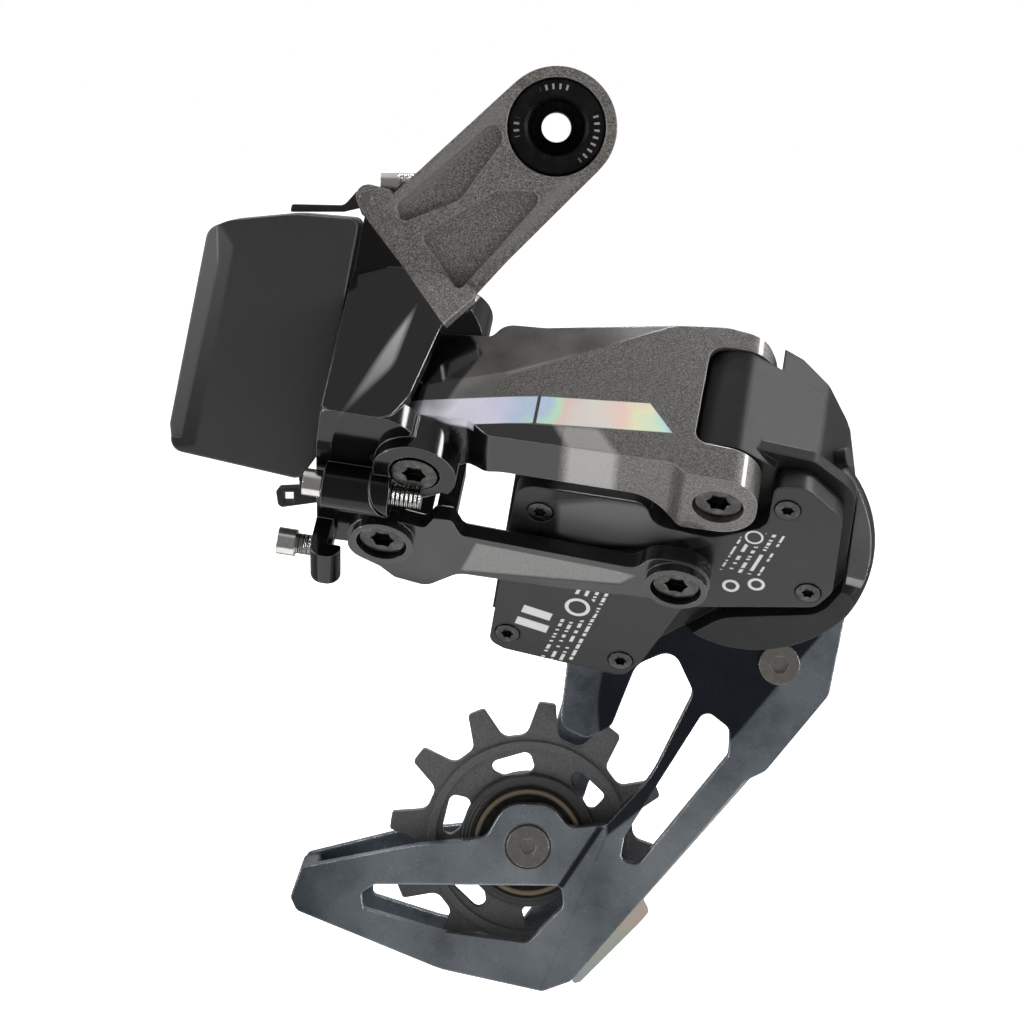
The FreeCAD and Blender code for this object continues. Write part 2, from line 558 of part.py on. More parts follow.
def make_p_knuckle():
    """Barrel on the front pivot, case of the motor module and the drum that holds the cage spring."""
    low = size("yoke_bottom") + size("running_gap")
    high = size("yoke_top")
    seam = seam_height()
    barrel = prism(LINK, BARREL_OUTLINE, low, high - low)
    crown = common(prism(LINK, CROWN_OUTLINE, high - 1, 8), prism(LINK_FACE, CROWN_PROFILE, -22, 30))
    tab = prism(MODULE, [(-39.6, 6.2, 0.6), (-36.6, 5.4), (-36.6, 10.6), (-39.8, 9.8, 0.6)], 11, 3.4)
    case = prism(MODULE, CASE_OUTLINE, seam, size("module_top") - seam + 2)
    hub = (size("hub_x"), size("hub_z"))
    drum = turned(moved(SIDE, *hub, 0), [(0, size("back_plane")), (size("drum_radius"), size("back_plane")),
                                         (size("drum_radius"), size("drum_face"), 4), (0, size("drum_face"))])
    below_ledge = prism(MODULE, EVERYWHERE, -40, 44.6)
    below_seam = prism(MODULE, inset(CASE_OUTLINE, -0.05), -40, 40 + seam)
    cover_room = joined(prism(MODULE, inset(COVER_OUTLINE, -0.12), -40, 40 + seam + 0.01),
                        prism(MODULE, [(9.2, -20), (50, -20), (50, 60), (9.2, 60)], -40, 40 + seam + 0.01))
    beside_barrel = prism(MODULE, [(2, -20), (40, -20), (40, 40), (2, 40)], seam + 2.6, 30)
    front = cut(in_front_of_wheel(joined(barrel, crown, cut(case, beside_barrel), tab)), cover_room)
    shell = joined(front, cut(drum, below_ledge, below_seam))
    cavity = in_front_of_wheel(prism(MODULE, CAVITY_OUTLINE, seam - 1, size("module_top") - seam + 1))
    cavity = common(cavity, box(SIDE, -60, -160, size("back_plane") + 2, 180, 200, 90))
    link_room = cut(prism(LINK, [(-30, -12), (-3.0, -12), (-3.0, 9.2), (-30, 9.2)], low - 1, 40),
                    cylinder(LINK, 0, 0, low - 1, "sizes.barrel_radius", 40))
    motor_room = cylinder(MODULE, -33.9, *WORM_SPOT, 3.9, 20, ALONG_X)
    worm_room = cylinder(MODULE, -14, *WORM_SPOT, "sizes.worm_tip + 0.5", 24, ALONG_X)
    gear_room = cylinder(LINK, 0, 0, 14.4, "sizes.gear_tip + 0.3", 5.4)
    pin = cylinder(LINK, 0, 0, -4, "sizes.pin_radius + 1.22", 42)
    inner_pin = cylinder(LINK, *INNER_FRONT, -6, "sizes.pin_radius + 0.02", 20.2)
    spring_well = joined(cylinder(SIDE, *hub, -3.5, 16.5, 3.5), cylinder(SIDE, *hub, -3.5, 15.0, 12.8),
                         cylinder(SIDE, *hub, -3.5, 8.4, 15.2))
    button = cylinder(LINK, *BUTTON_DEPTH, "sizes.button_radius + 0.1", 14, BUTTON_TURN)
    threads = [cylinder(MODULE, x, y, seam - 1, 1.0, 3.4) for x, y in SCREW_SPOTS]
    rooms = [cavity, link_room, motor_room, worm_room, gear_room, spring_well] + ear_room()
    piece("p_knuckle", cut(shell, pin, inner_pin, button, *rooms, *threads))
    sleeves = [ring(LINK, 0, 0, start, "sizes.pin_radius + 1.2", "sizes.pin_radius + sizes.running_fit", 6)
               for start in (7.8, 21.0)]
    piece("p_knuckle_bushings", group(*sleeves))


def make_button():
    stem = cylinder(LINK, *BUTTON_SPOT, "sizes.button_radius", 7.0, BUTTON_TURN)
    piece("function_button", stem)


def make_module_cover():
    face = size("cover_face")
    inside = inset(CAVITY_OUTLINE, 1.0)
    plate = prism(MODULE, COVER_OUTLINE, "sizes.cover_face", "sizes.cover_thick")
    hollow = prism(MODULE, inside, face + 2.0, 5)
    pin = cylinder(LINK, *INNER_FRONT, -14, "sizes.pin_radius + 0.1", 30)
    holes = [cylinder(MODULE, x, y, face - 1, 1.2, 8) for x, y in SCREW_SPOTS]
    sinks = [cylinder(MODULE, x, y, face - 1, 2.5, 2.4) for x, y in SCREW_SPOTS]
    collars = [cylinder(MODULE, x, y, face + 1.6, 2.4, 3.1) for x, y in SCREW_SPOTS]
    ears = cylinder(LINK, 0, 0, -12, "sizes.barrel_radius + 0.9", 30)
    lid = joined(cut(plate, hollow), *collars)
    piece("module_cover", in_front_of_wheel(cut(lid, pin, ears, *holes, *sinks)))
    seal = in_front_of_wheel(prism(MODULE, inset(COVER_OUTLINE, 0.4), face + size("cover_thick"),
                                   "sizes.gasket_thick"))
    gaps = [prism(MODULE, inside, face, 20), cylinder(LINK, 0, 0, -12, "sizes.barrel_radius + 1.2", 30),
            cylinder(LINK, *INNER_FRONT, -14, "sizes.pin_radius + 0.2", 30)]
    gaps += [cylinder(MODULE, x, y, face - 1, 1.3, 9) for x, y in SCREW_SPOTS]
    piece("cover_gasket", cut(seal, *gaps))
    screws = []
    for x, y in SCREW_SPOTS:
        head = cylinder(MODULE, x, y, face - 0.2, 2.3, 1.5)
        shank = cylinder(MODULE, x, y, face - 0.2, 0.95, 6.8)
        drive = prism(moved(MODULE, x, y, 0), polar(6, 0.9, 1.25), face - 0.3, 1.0)
        screws.append(in_front_of_wheel(cut(joined(head, shank), drive)))
    piece("cover_screws", group(*screws))


def make_module_insides():
    """Control board, motor, worm on the motor's shaft and worm wheel on the front pivot pin."""
    board = prism(MODULE, [(-33, 17, 1), (-34.6, 42, 1), (-17, 43, 1), (-14, 34, 1), (-14, 17, 1)], 5.9, 1.2)
    piece("control_board", board)
    piece("drive_motor", ring_along(-33.4, *WORM_SPOT, 3.7, 1.1, 18.0))
    shaft = cylinder(MODULE, -31, *WORM_SPOT, 1.0, 40, ALONG_X)
    core = cylinder(MODULE, -6.4, *WORM_SPOT, "sizes.worm_core", 14.4, ALONG_X)
    threads = [cylinder(MODULE, -5.2 + 1.9 * turn, *WORM_SPOT, "sizes.worm_tip", 0.9, ALONG_X)
               for turn in range(7)]
    piece("drive_worm", joined(shaft, core, *threads))
    teeth = 22
    step = math.pi / teeth
    tip = size("gear_tip")
    outline = []
    for index in range(teeth):
        for turn, radius in ((0.15, tip - 1.1), (0.55, tip), (1.05, tip), (1.45, tip - 1.1)):
            angle = 2 * step * index + turn * step
            outline.append((radius * math.cos(angle), radius * math.sin(angle)))
    wheel = prism(LINK, outline, 14.8, 4.6)
    piece("drive_gear", cut(wheel, cylinder(LINK, 0, 0, 10, "sizes.pin_radius + 0.02", 14)))


def ring_along(x, y, z, outer, inner, length):
    """A sleeve whose axis lies along the links, in the module frame."""
    return cut(cylinder(MODULE, x, y, z, outer, length, ALONG_X),
               cylinder(MODULE, x - 1, y, z, inner, length + 2, ALONG_X))


# ---------------------------------------------------------------- cage drum


def make_cage_drum():
    x = size("hub_x")
    z = size("hub_z")
    piece("cage_axle", joined(cylinder(SIDE, x, z, -6.5, "sizes.cage_axle_radius", 17.5),
                              cylinder(SIDE, x, z, 8.2, 7.6, 2.6)))
    piece("cage_spring", helix_spring(x, z))
    piece("damper_body", ring(SIDE, x, z, 4.0, 9.0, "sizes.cage_axle_radius + 0.1", 4.0))
    piece("drum_seal", ring(SIDE, x, z, -1.4, 16.45, 14.6, 1.3))
    low = size("yoke_bottom")
    disc = cylinder(SIDE, x, z, size("drum_face") + 0.02, "sizes.drum_radius - 1.2", 1.4)
    room = [prism(LINK, inset(BARREL_OUTLINE, -0.3), low, 40),
            prism(MODULE, inset(CASE_OUTLINE, -0.4), -20, 90),
            prism(MODULE, EVERYWHERE, -40, 45.6)]
    piece("drum_badge", cut(disc, *room))


def helix_spring(x, z):
    """A round-wire torsion spring of a few close turns."""
    wire = 0.8
    coil = 12.6
    pitch = 1.9
    turns = 3.5
    path = Part.makeHelix(pitch, pitch * turns, coil)
    start = Vector(coil, 0, 0)
    section = Part.Wire(Part.makeCircle(wire, start, Vector(0, 1, 0)))
    solid = Part.Wire(path.Edges).makePipeShell([section], True, True)
    made = doc.addObject("Part::Feature", "spring_coil")
    made.Shape = solid
    made.Placement = moved(SIDE, x, z, 1.0)
    return made


# ---------------------------------------------------------------- cage

OUTER_PLATE = [(-51.4, -148.1, 1.5), (-49.2, -142.4, 1.5), (-26.6, -138.0, 10), (-13.5, -136.6, 3),
               (-9.8, -130.0, 5), (-0.8, -130.0, 5), (2.6, -134.6, 3), (9.8, -134.0, 2), (18.5, -124.5, 20),
               (26.6, -108.0, 3), (22.6, -99.5, 3), (15.5, -102.5, 4), (10.8, -114.5, 3), (6.1, -117.0, 3),
               (0.8, -114.5, 3), (2.5, -100, 4), (8, -85, 8), (14, -58, 12), (40, -55, 14), (56.0, -68, 12),
               (55.9, -91, 6), (52.6, -108.4, 4), (40.5, -123.3, 3), (36.2, -125.4, 3), (3.0, -164.8, 2),
               (-2.5, -166.8, 2), (-22.3, -162.4, 20), (-50.2, -150.8, 1.5)]
SLOT = [(28.8, -111.2, 1.8), (33.6, -115.0, 2.5), (33.4, -120.2, 2), (16.0, -141.9, 1.8), (12.6, -141.0, 1.5),
        (13.3, -136.2, 3)]
LOWER_WINDOW = [(-37.6, -147.3, 1), (-35.0, -145.6, 2), (1.2, -145.8, 1.5), (1.6, -150.0, 2),
                (-5.4, -157.3, 2), (-22.3, -155.1, 10), (-37.2, -150.6, 1)]


def make_outer_cage_plate():
    back = -size("outer_plate_y") - size("plate_thick")
    plate = prism(SIDE, OUTER_PLATE, back, "sizes.plate_thick", holes=[SLOT, LOWER_WINDOW])
    wall = prism(SIDE, [(-51.4, -148.1, 1), (-49.4, -142.6, 1), (-46.0, -142.0, 1), (-45.6, -147.6, 2),
                        (-38.0, -151.2, 1), (-39.5, -154.9, 1), (-50.2, -150.8, 1.5)], -15.8, 10)
    hub = cylinder(SIDE, size("hub_x"), size("hub_z"), -6.5, 13.8, 5.2)
    axle = cylinder(SIDE, size("hub_x"), size("hub_z"), -8, "sizes.cage_axle_radius + 0.02", 12)
    bores = [cylinder(SIDE, x, z, -8, "sizes.pulley_bolt_radius + 0.05", 8) for x, z in pulley_centres()]
    sinks = [cylinder(SIDE, x, z, -4.9, "sizes.bolt_head_radius + 0.4", 4) for x, z in pulley_centres()]
    stop = cylinder(SIDE, 42.8, -102.0, -8, 2.05, 12)
    piece("outer_cage_plate", cut(joined(plate, wall, hub), axle, stop, *bores, *sinks))


def pulley_centres():
    return [(size("guide_x"), size("guide_z")), (size("tension_x"), size("tension_z"))]


def make_inner_cage_plate():
    """A slim plate from the guide pulley's bolt to the beak, open where the outer plate is open."""
    outline = [(-51.0, -148.0, 1.5), (-49.0, -142.4, 1.5), (-30, -137.6, 8), (-13, -136.0, 4),
               (-9, -129.0, 6), (-2.0, -124, 6), (1.4, -112, 6), (4, -92, 8), (16, -66, 8), (30, -60, 8),
               (37, -72, 8), (24, -86, 10), (12.4, -100, 8), (10.6, -116, 8), (4.6, -134, 5), (5.0, -150, 6),
               (-4.0, -163.0, 3), (-22.3, -161.6, 20), (-50.0, -150.8, 1.5)]
    window = [(-36, -147.0, 1.5), (-20, -145.0, 2), (-1.0, -148.5, 2), (-7.0, -156.5, 2), (-22.3, -155.0, 10),
              (-36, -150.6, 1)]
    back = -size("inner_plate_y") - size("inner_plate_thick")
    plate = prism(SIDE, outline, back, "sizes.inner_plate_thick", holes=[window])
    bores = [cylinder(SIDE, x, z, -20, "sizes.pulley_bolt_radius + 0.02", 8) for x, z in pulley_centres()]
    piece("inner_cage_plate", cut(plate, *bores))


def make_trim_strip():
    back = -size("outer_plate_y") - size("plate_thick")
    outline = [(38.9, -123.2, 0.4), (36.4, -124.2, 3), (3.6, -164.0, 0.8), (2.0, -165.6, 0.6),
               (4.9, -164.9, 0.6), (16.9, -152.6, 0.8), (18.2, -150.9, 0.5), (17.0, -148.6, 1.0)]
    strip = prism(SIDE, outline, back + 0.2, "sizes.plate_thick - 0.2")
    plate_space = prism(SIDE, inset(OUTER_PLATE, -0.02), back - 1, 8)
    piece("cage_trim_strip", cut(strip, plate_space))


def make_stop_screw():
    head = cylinder(SIDE, 42.8, -102.0, -3.4, 3.9, 3.0)
    shank = cylinder(SIDE, 42.8, -102.0, -9.5, 2.0, 7)
    drive = hexagon_socket(SIDE, 42.8, -102.0, -2.4, 3.6, 3)
    piece("cage_stop_screw", cut(joined(head, shank), drive))


# ---------------------------------------------------------------- pulleys


def pulley_outline():
    """Teeth with round roller seats between them, from the chain's pitch and the tooth count."""
    teeth = int(size("pulley_teeth"))
    step = 2 * math.pi / teeth
    pitch_radius = size("chain_pitch") / (2 * math.sin(step / 2))
    root = pitch_radius - size("roller_radius")
    tip = pitch_radius + size("tooth_height")
    tooth = [(-0.112, root, 2.2), (0.112, root, 2.2), (0.20, tip, 0.7), (0.323, tip, 0.7)]
    points = []
    for index in range(teeth):
        seat = index * step
        for turn, radius, corner in tooth:
            angle = seat + turn
            points.append((radius * math.cos(angle), radius * math.sin(angle), corner))
    return points


def pulley_windows(count, inner, outer, half_angle, slant):
    windows = []
    for index in range(count):
        middle = 2 * math.pi * index / count
        outline = []
        for radius, side, lean in ((inner, -1, 0), (inner, 1, 0), (outer, 1, slant), (outer, -1, slant)):
            angle = middle + lean + side * half_angle * (0.8 if radius == inner else 1.0)
            outline.append((radius * math.cos(angle), radius * math.sin(angle), 1.4))
        windows.append(outline)
    return windows


def make_pulley(label, x, z, phase):
    middle = -size("chain_line_y")
    half = size("tooth_thick") / 2
    frame = moved(SIDE, x, z, middle, FreeCAD.Rotation(Vector(0, 0, 1), phase))
    windows = pulley_windows(6, 13.4, 17.6, 0.30, 0.16)
    toothed = prism(frame, pulley_outline(), -half, "sizes.tooth_thick", holes=windows)
    rim = ring(frame, 0, 0, -1.7, 19.6, 18.0, 3.4)
    hub = ring(frame, 0, 0, -2.9, 13.0, 10.4, 5.8)
    body = joined(toothed, rim, hub)
    bore = cylinder(frame, 0, 0, -5, "sizes.pulley_hub_radius", 10)
    carrier = ring(frame, 0, 0, -1.9, "sizes.pulley_hub_radius + 0.1", "sizes.bearing_outer", 3.8)
    piece(label, joined(cut(body, bore), carrier))
    return frame


def make_pulley_hardware(which, x, z):
    """Bearing, dust shields and bolt of one pulley."""
    middle = -size("chain_line_y")
    frame = moved(SIDE, x, z, middle)
    inner = ring(frame, 0, 0, -2.6, 4.0, "sizes.bearing_bore + 1.0", 5.2)
    balls = [sphere(frame, 4.95 * math.cos(a), 4.95 * math.sin(a), 0.9) for a in
             [2 * math.pi * i / 8 for i in range(8)]]
    piece(which + "_bearing_race", inner)
    piece(which + "_bearing_balls", group(*balls))
    reach = size("chain_line_y") - size("outer_plate_y") - size("plate_thick")
    sleeve_low = -(size("inner_plate_y") - size("chain_line_y"))
    piece(which + "_axle_sleeve", ring(frame, 0, 0, sleeve_low, "sizes.bearing_bore + 0.95",
                                       "sizes.pulley_bolt_radius + 0.05", reach - sleeve_low))
    shields = [ring(frame, 0, 0, start, "sizes.shield_radius", "sizes.bearing_bore + 1.0", 0.7)
               for start in (3.2, -3.9)]
    piece(which + "_dust_shields", group(*shields))
    face = -size("outer_plate_y") + 0.2
    head_low = -4.9
    head = cylinder(SIDE, x, z, head_low, "sizes.bolt_head_radius", face + 0.2 - head_low)
    shank = cylinder(SIDE, x, z, -19.2, "sizes.pulley_bolt_radius", 16)
    drive = hexagon_socket(SIDE, x, z, head_low + 0.4, 3.4, 3)
    piece(which + "_pulley_bolt", cut(joined(head, shank), drive))


def sphere(frame, x, y, radius):
    made = doc.addObject("Part::Sphere", fresh("sphere"))
    bind(made, "Radius", radius)
    made.Placement = moved(frame, x, y, 0)
    return made


def make_pulleys():
    (guide_x, guide_z), (tension_x, tension_z) = pulley_centres()
    make_pulley("guide_pulley", guide_x, guide_z, 5)
    make_pulley("tension_pulley", tension_x, tension_z, -23)
    make_pulley_hardware("guide", guide_x, guide_z)
    make_pulley_hardware("tension", tension_x, tension_z)


# ---------------------------------------------------------------- battery

def make_battery():
    back = size("battery_back")
    thick = size("battery_thick")
    case = prism(SIDE, BATTERY_OUTLINE, "sizes.battery_back", "sizes.battery_thick")
    bevel = box(SIDE, -71.5, -56.5, back + thick - 1.2, 10, 60, 10,
                FreeCAD.Rotation(Vector(0.22, 0.975, 0), -24))
    cavity = prism(SIDE, inset(BATTERY_OUTLINE, 1.6), back + 1.4, thick - 3.4)
    notch = cylinder(SIDE, *NOSE_SPOT, 9.4, 1.25, 8.2)
    piece("battery_case", cut(case, bevel, cavity, notch))
    cells = prism(SIDE, inset(BATTERY_OUTLINE, 4.2), back + 2.0, thick - 6.4)
    piece("battery_cell", cells)


def make_latch():
    """Thumb latch on the battery's top, its pin, and the catch the battery's lower edge hooks over."""
    spot = LATCH_SPOT
    plate = prism(SIDE, [(-48.9, -15.5, 0.3), (-48.6, -14.1, 0.3), (-39.0, -14.3, 2), (-36.6, -11.6, 1),
                         (-33.8, -11.4, 1), (-33.8, -14.0, 1), (-36.0, -14.8, 0.6),
                         (-39.0, -15.5, 1)], 12.4, 3.4)
    eye = cylinder(SIDE, *spot, 12.4, 1.9, 3.4)
    bore = cylinder(SIDE, *spot, 10, 1.05, 8)
    piece("battery_latch", cut(joined(plate, eye), bore))
    piece("latch_pin", cylinder(SIDE, *spot, 10.8, 1.0, 6.0))
    nose = cylinder(SIDE, *NOSE_SPOT, 10, 1.2, 7)
    catch = joined(prism(SIDE, CATCH_OUTLINE, 10.0, 7.0), nose)
    slot = box(SIDE, -50.6, -69.0, 9, 2.0, 1.9, 9)
    piece("battery_catch", cut(catch, slot))


# ---------------------------------------------------------------- export


def export():
    doc.recompute()
    failed = [item.Name for item in doc.Objects if "Invalid" in item.State or "Error" in item.State]
    if failed:
        raise RuntimeError("failed objects: " + ", ".join(failed))
    os.makedirs("parts", exist_ok=True)
    for item in pieces:
        shape = item.Shape
        if shape.isNull() or not shape.isValid():
            raise RuntimeError("bad shape: " + item.Label)
        shape.exportStep("parts/%s.step" % item.Label)


make_hanger_bolt()
make_b_knuckle()
make_adjusting_screws()
make_pins()
make_outer_link()
make_inner_link()
make_p_knuckle()
make_module_cover()
make_module_insides()
make_button()
make_cage_drum()
make_outer_cage_plate()
make_inner_cage_plate()
make_trim_strip()
make_stop_screw()
make_pulleys()
make_battery()
make_latch()
export()
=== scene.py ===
"""Looks for the rear derailleur: materials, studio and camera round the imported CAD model.

Everything is in metres in the frame of the CAD model: +X forward, +Y inboard, +Z up.
Colour regions are measured in millimetres, in one of three working frames:
  side    across = x, up = z
  links   along = along the links, across = inboard and down, pivot = along the link pivots
  module  the link frame tilted about its own first axis, square to the motor module's cover
"""
import bpy
import json
import math
from mathutils import Matrix, Vector


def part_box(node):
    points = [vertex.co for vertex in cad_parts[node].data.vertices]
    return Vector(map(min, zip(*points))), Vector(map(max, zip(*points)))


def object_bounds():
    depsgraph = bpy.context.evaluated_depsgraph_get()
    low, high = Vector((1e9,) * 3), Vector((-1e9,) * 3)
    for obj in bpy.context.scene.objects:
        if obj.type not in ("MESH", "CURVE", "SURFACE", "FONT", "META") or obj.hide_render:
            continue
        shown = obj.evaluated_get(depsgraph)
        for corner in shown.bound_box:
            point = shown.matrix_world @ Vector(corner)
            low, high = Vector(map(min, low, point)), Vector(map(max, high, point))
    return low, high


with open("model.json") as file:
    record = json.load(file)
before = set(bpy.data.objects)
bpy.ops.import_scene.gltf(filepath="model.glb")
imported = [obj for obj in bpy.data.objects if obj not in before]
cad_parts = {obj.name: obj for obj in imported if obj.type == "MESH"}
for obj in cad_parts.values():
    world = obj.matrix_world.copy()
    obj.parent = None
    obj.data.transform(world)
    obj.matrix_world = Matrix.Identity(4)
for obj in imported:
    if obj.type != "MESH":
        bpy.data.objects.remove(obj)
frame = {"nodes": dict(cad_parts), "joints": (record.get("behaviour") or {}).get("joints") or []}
NODES = frame["nodes"]
JOINTS = {joint["name"]: joint for joint in frame["joints"]}
cad_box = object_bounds()

MM = 1000.0
MODULE_TILT = math.radians(8.0)


# ---------------------------------------------------------------- working frames

def joint_point(name):
    return Vector(JOINTS[name]["pos_m"])


def joint_axis(name):
    return Vector(JOINTS[name]["axis"]).normalized()


PIVOT = joint_axis("link_swing")
ALONG = joint_axis("high_limit_travel")
ACROSS = PIVOT.cross(ALONG)
FRONT_PIVOT = joint_point("p_knuckle_swing") - PIVOT * 0.015
MODULE_ACROSS = ACROSS * math.cos(MODULE_TILT) - PIVOT * math.sin(MODULE_TILT)
MODULE_DEPTH = PIVOT * math.cos(MODULE_TILT) + ACROSS * math.sin(MODULE_TILT)
ORIGIN = Vector((0, 0, 0))
X_AXIS, Y_AXIS, Z_AXIS = Vector((1, 0, 0)), Vector((0, 1, 0)), Vector((0, 0, 1))
GUIDE_CENTRE = joint_point("guide_spin")
TENSION_CENTRE = joint_point("tension_spin")


# ---------------------------------------------------------------- material writer

class Paint:
    """One material, written socket by socket."""

    def __init__(self, name, **settings):
        self.material = bpy.data.materials.new(name)
        self.material.use_nodes = True
        self.tree = self.material.node_tree
        self.shader = self.tree.nodes["Principled BSDF"]
        for socket, value in settings.items():
            self.shader.inputs[socket.replace("_", " ")].default_value = value
        self.place = self.add("ShaderNodeTexCoord").outputs["Object"]

    def add(self, kind, **options):
        node = self.tree.nodes.new(kind)
        for option, value in options.items():
            setattr(node, option, value)
        return node

    def plug(self, value, socket):
        if isinstance(value, bpy.types.NodeSocket):
            self.tree.links.new(value, socket)
        else:
            socket.default_value = value

    def calc(self, operation, *values):
        node = self.add("ShaderNodeMath", operation=operation)
        for value, socket in zip(values, node.inputs):
            self.plug(value, socket)
        return node.outputs[0]

    def along(self, axis, origin=ORIGIN):
        """Distance from the origin along an axis, in millimetres."""
        node = self.add("ShaderNodeVectorMath", operation="DOT_PRODUCT")
        self.plug(self.place, node.inputs[0])
        node.inputs[1].default_value = axis * MM
        return self.calc("SUBTRACT", node.outputs["Value"], axis.dot(origin) * MM)

    def reach(self, across, up):
        """Distance from the point where both lengths are 0."""
        squares = [self.calc("POWER", length, 2.0) for length in (across, up)]
        return self.calc("SQRT", self.calc("ADD", *squares))

    def noise(self, scale, detail=4.0, roughness=0.55):
        node = self.add("ShaderNodeTexNoise")
        self.plug(self.place, node.inputs["Vector"])
        node.inputs["Scale"].default_value = scale
        node.inputs["Detail"].default_value = detail
        node.inputs["Roughness"].default_value = roughness
        return node.outputs["Fac"]

    def grains(self, scale):
        """A random colour for each small cell."""
        node = self.add("ShaderNodeTexVoronoi", feature="F1")
        self.plug(self.place, node.inputs["Vector"])
        node.inputs["Scale"].default_value = scale
        return node.outputs["Color"]

    def fade(self, value, low, high, first=0.0, last=1.0):
        """Value between low and high, spread over first to last."""
        node = self.add("ShaderNodeMapRange")
        self.plug(value, node.inputs["Value"])
        for socket, number in zip(("From Min", "From Max", "To Min", "To Max"), (low, high, first, last)):
            node.inputs[socket].default_value = number
        return node.outputs["Result"]

    def mix(self, factor, first, second):
        node = self.add("ShaderNodeMix", data_type="RGBA")
        self.plug(factor, node.inputs["Factor"])
        for value, socket in ((first, node.inputs[6]), (second, node.inputs[7])):
            self.plug(value if isinstance(value, bpy.types.NodeSocket) else (*value, 1.0), socket)
        return node.outputs[2]

    def product(self, *masks):
        result = masks[0]
        for mask in masks[1:]:
            result = self.calc("MULTIPLY", result, mask)
        return result

    def either(self, *masks):
        result = masks[0]
        for mask in masks[1:]:
            result = self.calc("MAXIMUM", result, mask)
        return result

    def without(self, mask):
        return self.calc("SUBTRACT", 1.0, mask)

    def beside(self, across, up, start, end, soft=0.08):
        """1 on the left of the line from start to end, 0 on its right."""
        run_x, run_y = end[0] - start[0], end[1] - start[1]
        length = math.hypot(run_x, run_y)
        offset = (run_y * start[0] - run_x * start[1]) / length
        first = self.calc("MULTIPLY_ADD", across, -run_y / length, offset)
        distance = self.calc("MULTIPLY_ADD", up, run_x / length, first)
        return self.fade(distance, -soft, soft)

    def patch(self, across, up, corners, soft=0.08):
        """1 inside a convex outline that runs anticlockwise."""
        sides = [self.beside(across, up, corners[i - 1], corners[i], soft) for i in range(len(corners))]
        return self.product(*sides)

    def band(self, value, low, high, soft=0.05):
        rising = self.fade(value, low - soft, low + soft)
        return self.product(rising, self.without(self.fade(value, high - soft, high + soft)))

    def colour(self, value):
        self.plug(value, self.shader.inputs["Base Color"])

    def colour_so_far(self):
        return self.shader.inputs["Base Color"].links[0].from_socket

    def ridges(self, length, pitch):
        """A wave of 0 to 1 that repeats every pitch."""
        wave = self.calc("SINE", self.calc("MULTIPLY", length, 2 * math.pi / pitch))
        return self.fade(wave, -1.0, 1.0)

    def mottle(self, scale, low, high, detail=4.0):
        """Noise spread over low to high, for a roughness that varies a little."""
        return self.fade(self.noise(scale, detail), 0.3, 0.7, low, high)

    def shine(self, value):
        self.plug(value, self.shader.inputs["Roughness"])

    def relief(self, height=None, depth_mm=0.05, edge_mm=0.3):
        """Rounded edges, and a height that stands proud of the surface."""
        soft_edge = self.add("ShaderNodeBevel", samples=4)
        soft_edge.inputs["Radius"].default_value = edge_mm / MM
        normal = soft_edge.outputs["Normal"]
        if height is not None:
            bump = self.add("ShaderNodeBump")
            bump.inputs["Distance"].default_value = depth_mm / MM
            self.plug(height, bump.inputs["Height"])
            self.plug(normal, bump.inputs["Normal"])
            normal = bump.outputs["Normal"]
        self.plug(normal, self.shader.inputs["Normal"])

    def rim(self, width_mm=0.35):
        """1 along sharp edges, where a bright line is painted on as a highlight."""
        soft_edge = self.add("ShaderNodeBevel", samples=4)
        soft_edge.inputs["Radius"].default_value = width_mm / MM
        likeness = self.add("ShaderNodeVectorMath", operation="DOT_PRODUCT")
        self.plug(soft_edge.outputs["Normal"], likeness.inputs[0])
        self.plug(self.add("ShaderNodeNewGeometry").outputs["Normal"], likeness.inputs[1])
        return self.without(self.fade(likeness.outputs["Value"], 0.86, 0.97))

    def with_edge_highlights(self, colour, bright, amount, width_mm=0.35):
        """The colour, with painted highlights along its sharp edges."""
        return self.mix(self.product(self.rim(width_mm), amount), colour, bright)

    def wear(self, base, worn, amount=0.35, scale=900.0):
        """The base colour, mottled towards a worn colour."""
        return self.mix(self.fade(self.noise(scale), 0.45, 0.7, 0.0, amount), base, worn)


def dress(material, *names):
    """Give CAD nodes their material."""
    for name in names:
        slots = NODES[name].material_slots
        for slot in slots:
            slot.link = "OBJECT"
            slot.material = material


# ---------------------------------------------------------------- paints

FLAKE_DARK = (0.060, 0.056, 0.052)
FLAKE_LIGHT = (0.25, 0.235, 0.22)
# How much brighter the flakes are on the hanger arm and on the outer link
ARM_LIFT = 1.7
LINK_LIFT = 0.8
# Gloss black paint; on the outer link it also stands for a painted shadow
GLOSS_BLACK_AND_SHADE = (0.006, 0.006, 0.007)
SMOKE = (0.10, 0.098, 0.095)
THIN_SMOKE = (0.20, 0.195, 0.19)
# Pale grey of painted highlights on the hanger arm and the outer link
PALE_HIGHLIGHT = (0.27, 0.26, 0.25)
# Colour of the painted highlights along sharp edges
EDGE_HIGHLIGHT = (0.55, 0.54, 0.53)


def flakes(paint, lift):
    """Metal flakes in dark lacquer: every grain has its own brightness, and lift scales them all."""
    grain = paint.add("ShaderNodeSeparateColor")
    paint.plug(paint.grains(6500.0), grain.inputs[0])
    fine = paint.noise(2600.0, 2.0)
    bright = paint.fade(paint.calc("MULTIPLY", grain.outputs[0], fine), 0.10, 0.62)
    dark, light = (tuple(lift * part for part in tone) for tone in (FLAKE_DARK, FLAKE_LIGHT))
    return paint.mix(bright, dark, light), bright


def clouds(paint, first, second, scale=60.0):
    """Slow change of tone under the lacquer."""
    return paint.mix(paint.fade(paint.noise(scale, 2.0), 0.38, 0.64), first, second)


